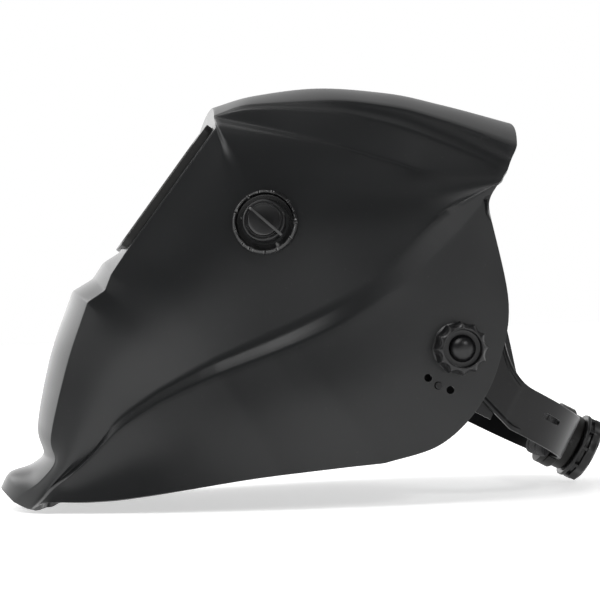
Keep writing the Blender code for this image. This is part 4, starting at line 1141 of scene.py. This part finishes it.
def area_light(name, place, target, size, power):
    light = bpy.data.lights.new(name, "AREA")
    light.shape = "RECTANGLE"
    light.size, light.size_y = size
    light.energy = power
    lamp = placed(name, light)
    place, target = Vector(place), Vector(target)
    lamp.matrix_world = (Matrix.Translation(place)
                         @ (target - place).to_track_quat("-Z", "Y").to_matrix().to_4x4())
    lamp.visible_camera = False


def build_world():
    """A bright wall at -X, a band round the horizon that brightens toward +Y, and a dim rest.

    Only the reflections and the lighting come from these: the background is seen as white.
    """
    world = bpy.data.worlds.new("studio")
    bpy.context.scene.world = world
    world.use_nodes = True
    n = Tree(world.node_tree)
    n.tree.nodes.clear()
    direction = n.add("ShaderNodeTexCoord").outputs["Generated"]
    x, y, z = n.add("ShaderNodeSeparateXYZ", Vector=direction).outputs

    def soft(value, low, high, to_low, to_high):
        return n.ranged(value, low, high, to_low, to_high, "SMOOTHSTEP")

    wall = n.math("MULTIPLY", soft(x, 0.30, -0.30, 0.0, 1.0), soft(z, 0.2, 0.95, 2.7, 1.3))
    wall = n.math("MULTIPLY", wall, soft(y, 0.12, -0.22, 0.34, 1.0))
    horizon = n.math("MULTIPLY", soft(z, 0.34, 0.02, 0.0, 1.0), soft(y, -0.5, 0.35, 0.26, 1.35))
    total = n.math("ADD", n.math("ADD", wall, horizon), 0.04)
    lit = n.add("ShaderNodeBackground", Strength=total)
    seen = n.add("ShaderNodeBackground", Strength=1.0, Color=(1, 1, 1, 1))
    choose = n.add("ShaderNodeMixShader")
    n.link(n.add("ShaderNodeLightPath").outputs["Is Camera Ray"], choose.inputs[0])
    n.link(lit.outputs[0], choose.inputs[1])
    n.link(seen.outputs[0], choose.inputs[2])
    n.link(choose.outputs[0], n.add("ShaderNodeOutputWorld").inputs["Surface"])


def build_stage():
    bm = bmesh.new()
    bmesh.ops.create_grid(bm, x_segments=1, y_segments=1, size=6.0)
    mesh = bpy.data.meshes.new("floor")
    bm.to_mesh(mesh)
    bm.free()
    floor = placed("floor", mesh)
    floor.location.z = -0.0002
    n = Nodes("white_floor")
    n.give(Base_Color=(0.9, 0.9, 0.9, 1), Roughness=0.7, Emission_Color=(1, 1, 1, 1),
           Emission_Strength=0.55)
    mesh.materials.append(n.material)


def build_lights():
    """Each with its place, target and size in metres, and its power in watts."""
    area_light("key", (-0.9, -1.3, 1.2), (0, -0.02, 0.12), (0.9, 0.9), 8.0)
    area_light("rear_side", (1.3, 0.7, 1.1), (0.05, 0.06, 0.12), (0.35, 0.35), 5.0)
    area_light("overhead", (0.45, -0.5, 1.35), (0.07, -0.05, 0.08), (0.6, 0.9), 8.0)


def main():
    build_camera()
    materials = make_materials()
    build_shell(materials["shell_black"])
    build_shade_control(materials["knob_black"], materials["bezel"])
    build_tension_knobs(materials["knob_black"])
    for word, side, layer in (("left", 1, 0.0), ("right", -1, STRAP_LAP)):
        build_rear_strap("nape_strap_" + word, side, layer, materials["band_black"],
                         ["rear_strap_" + word])
    build_ratchet(materials)
    build_sweatband(materials["sweatband"])
    build_nape_pad(materials["sweatband"])
    finish_kept_nodes(materials)
    build_stage()
    build_world()
    build_lights()
    bpy.context.scene.view_settings.view_transform = "Standard"


main()
bpy.context.view_layer.update()
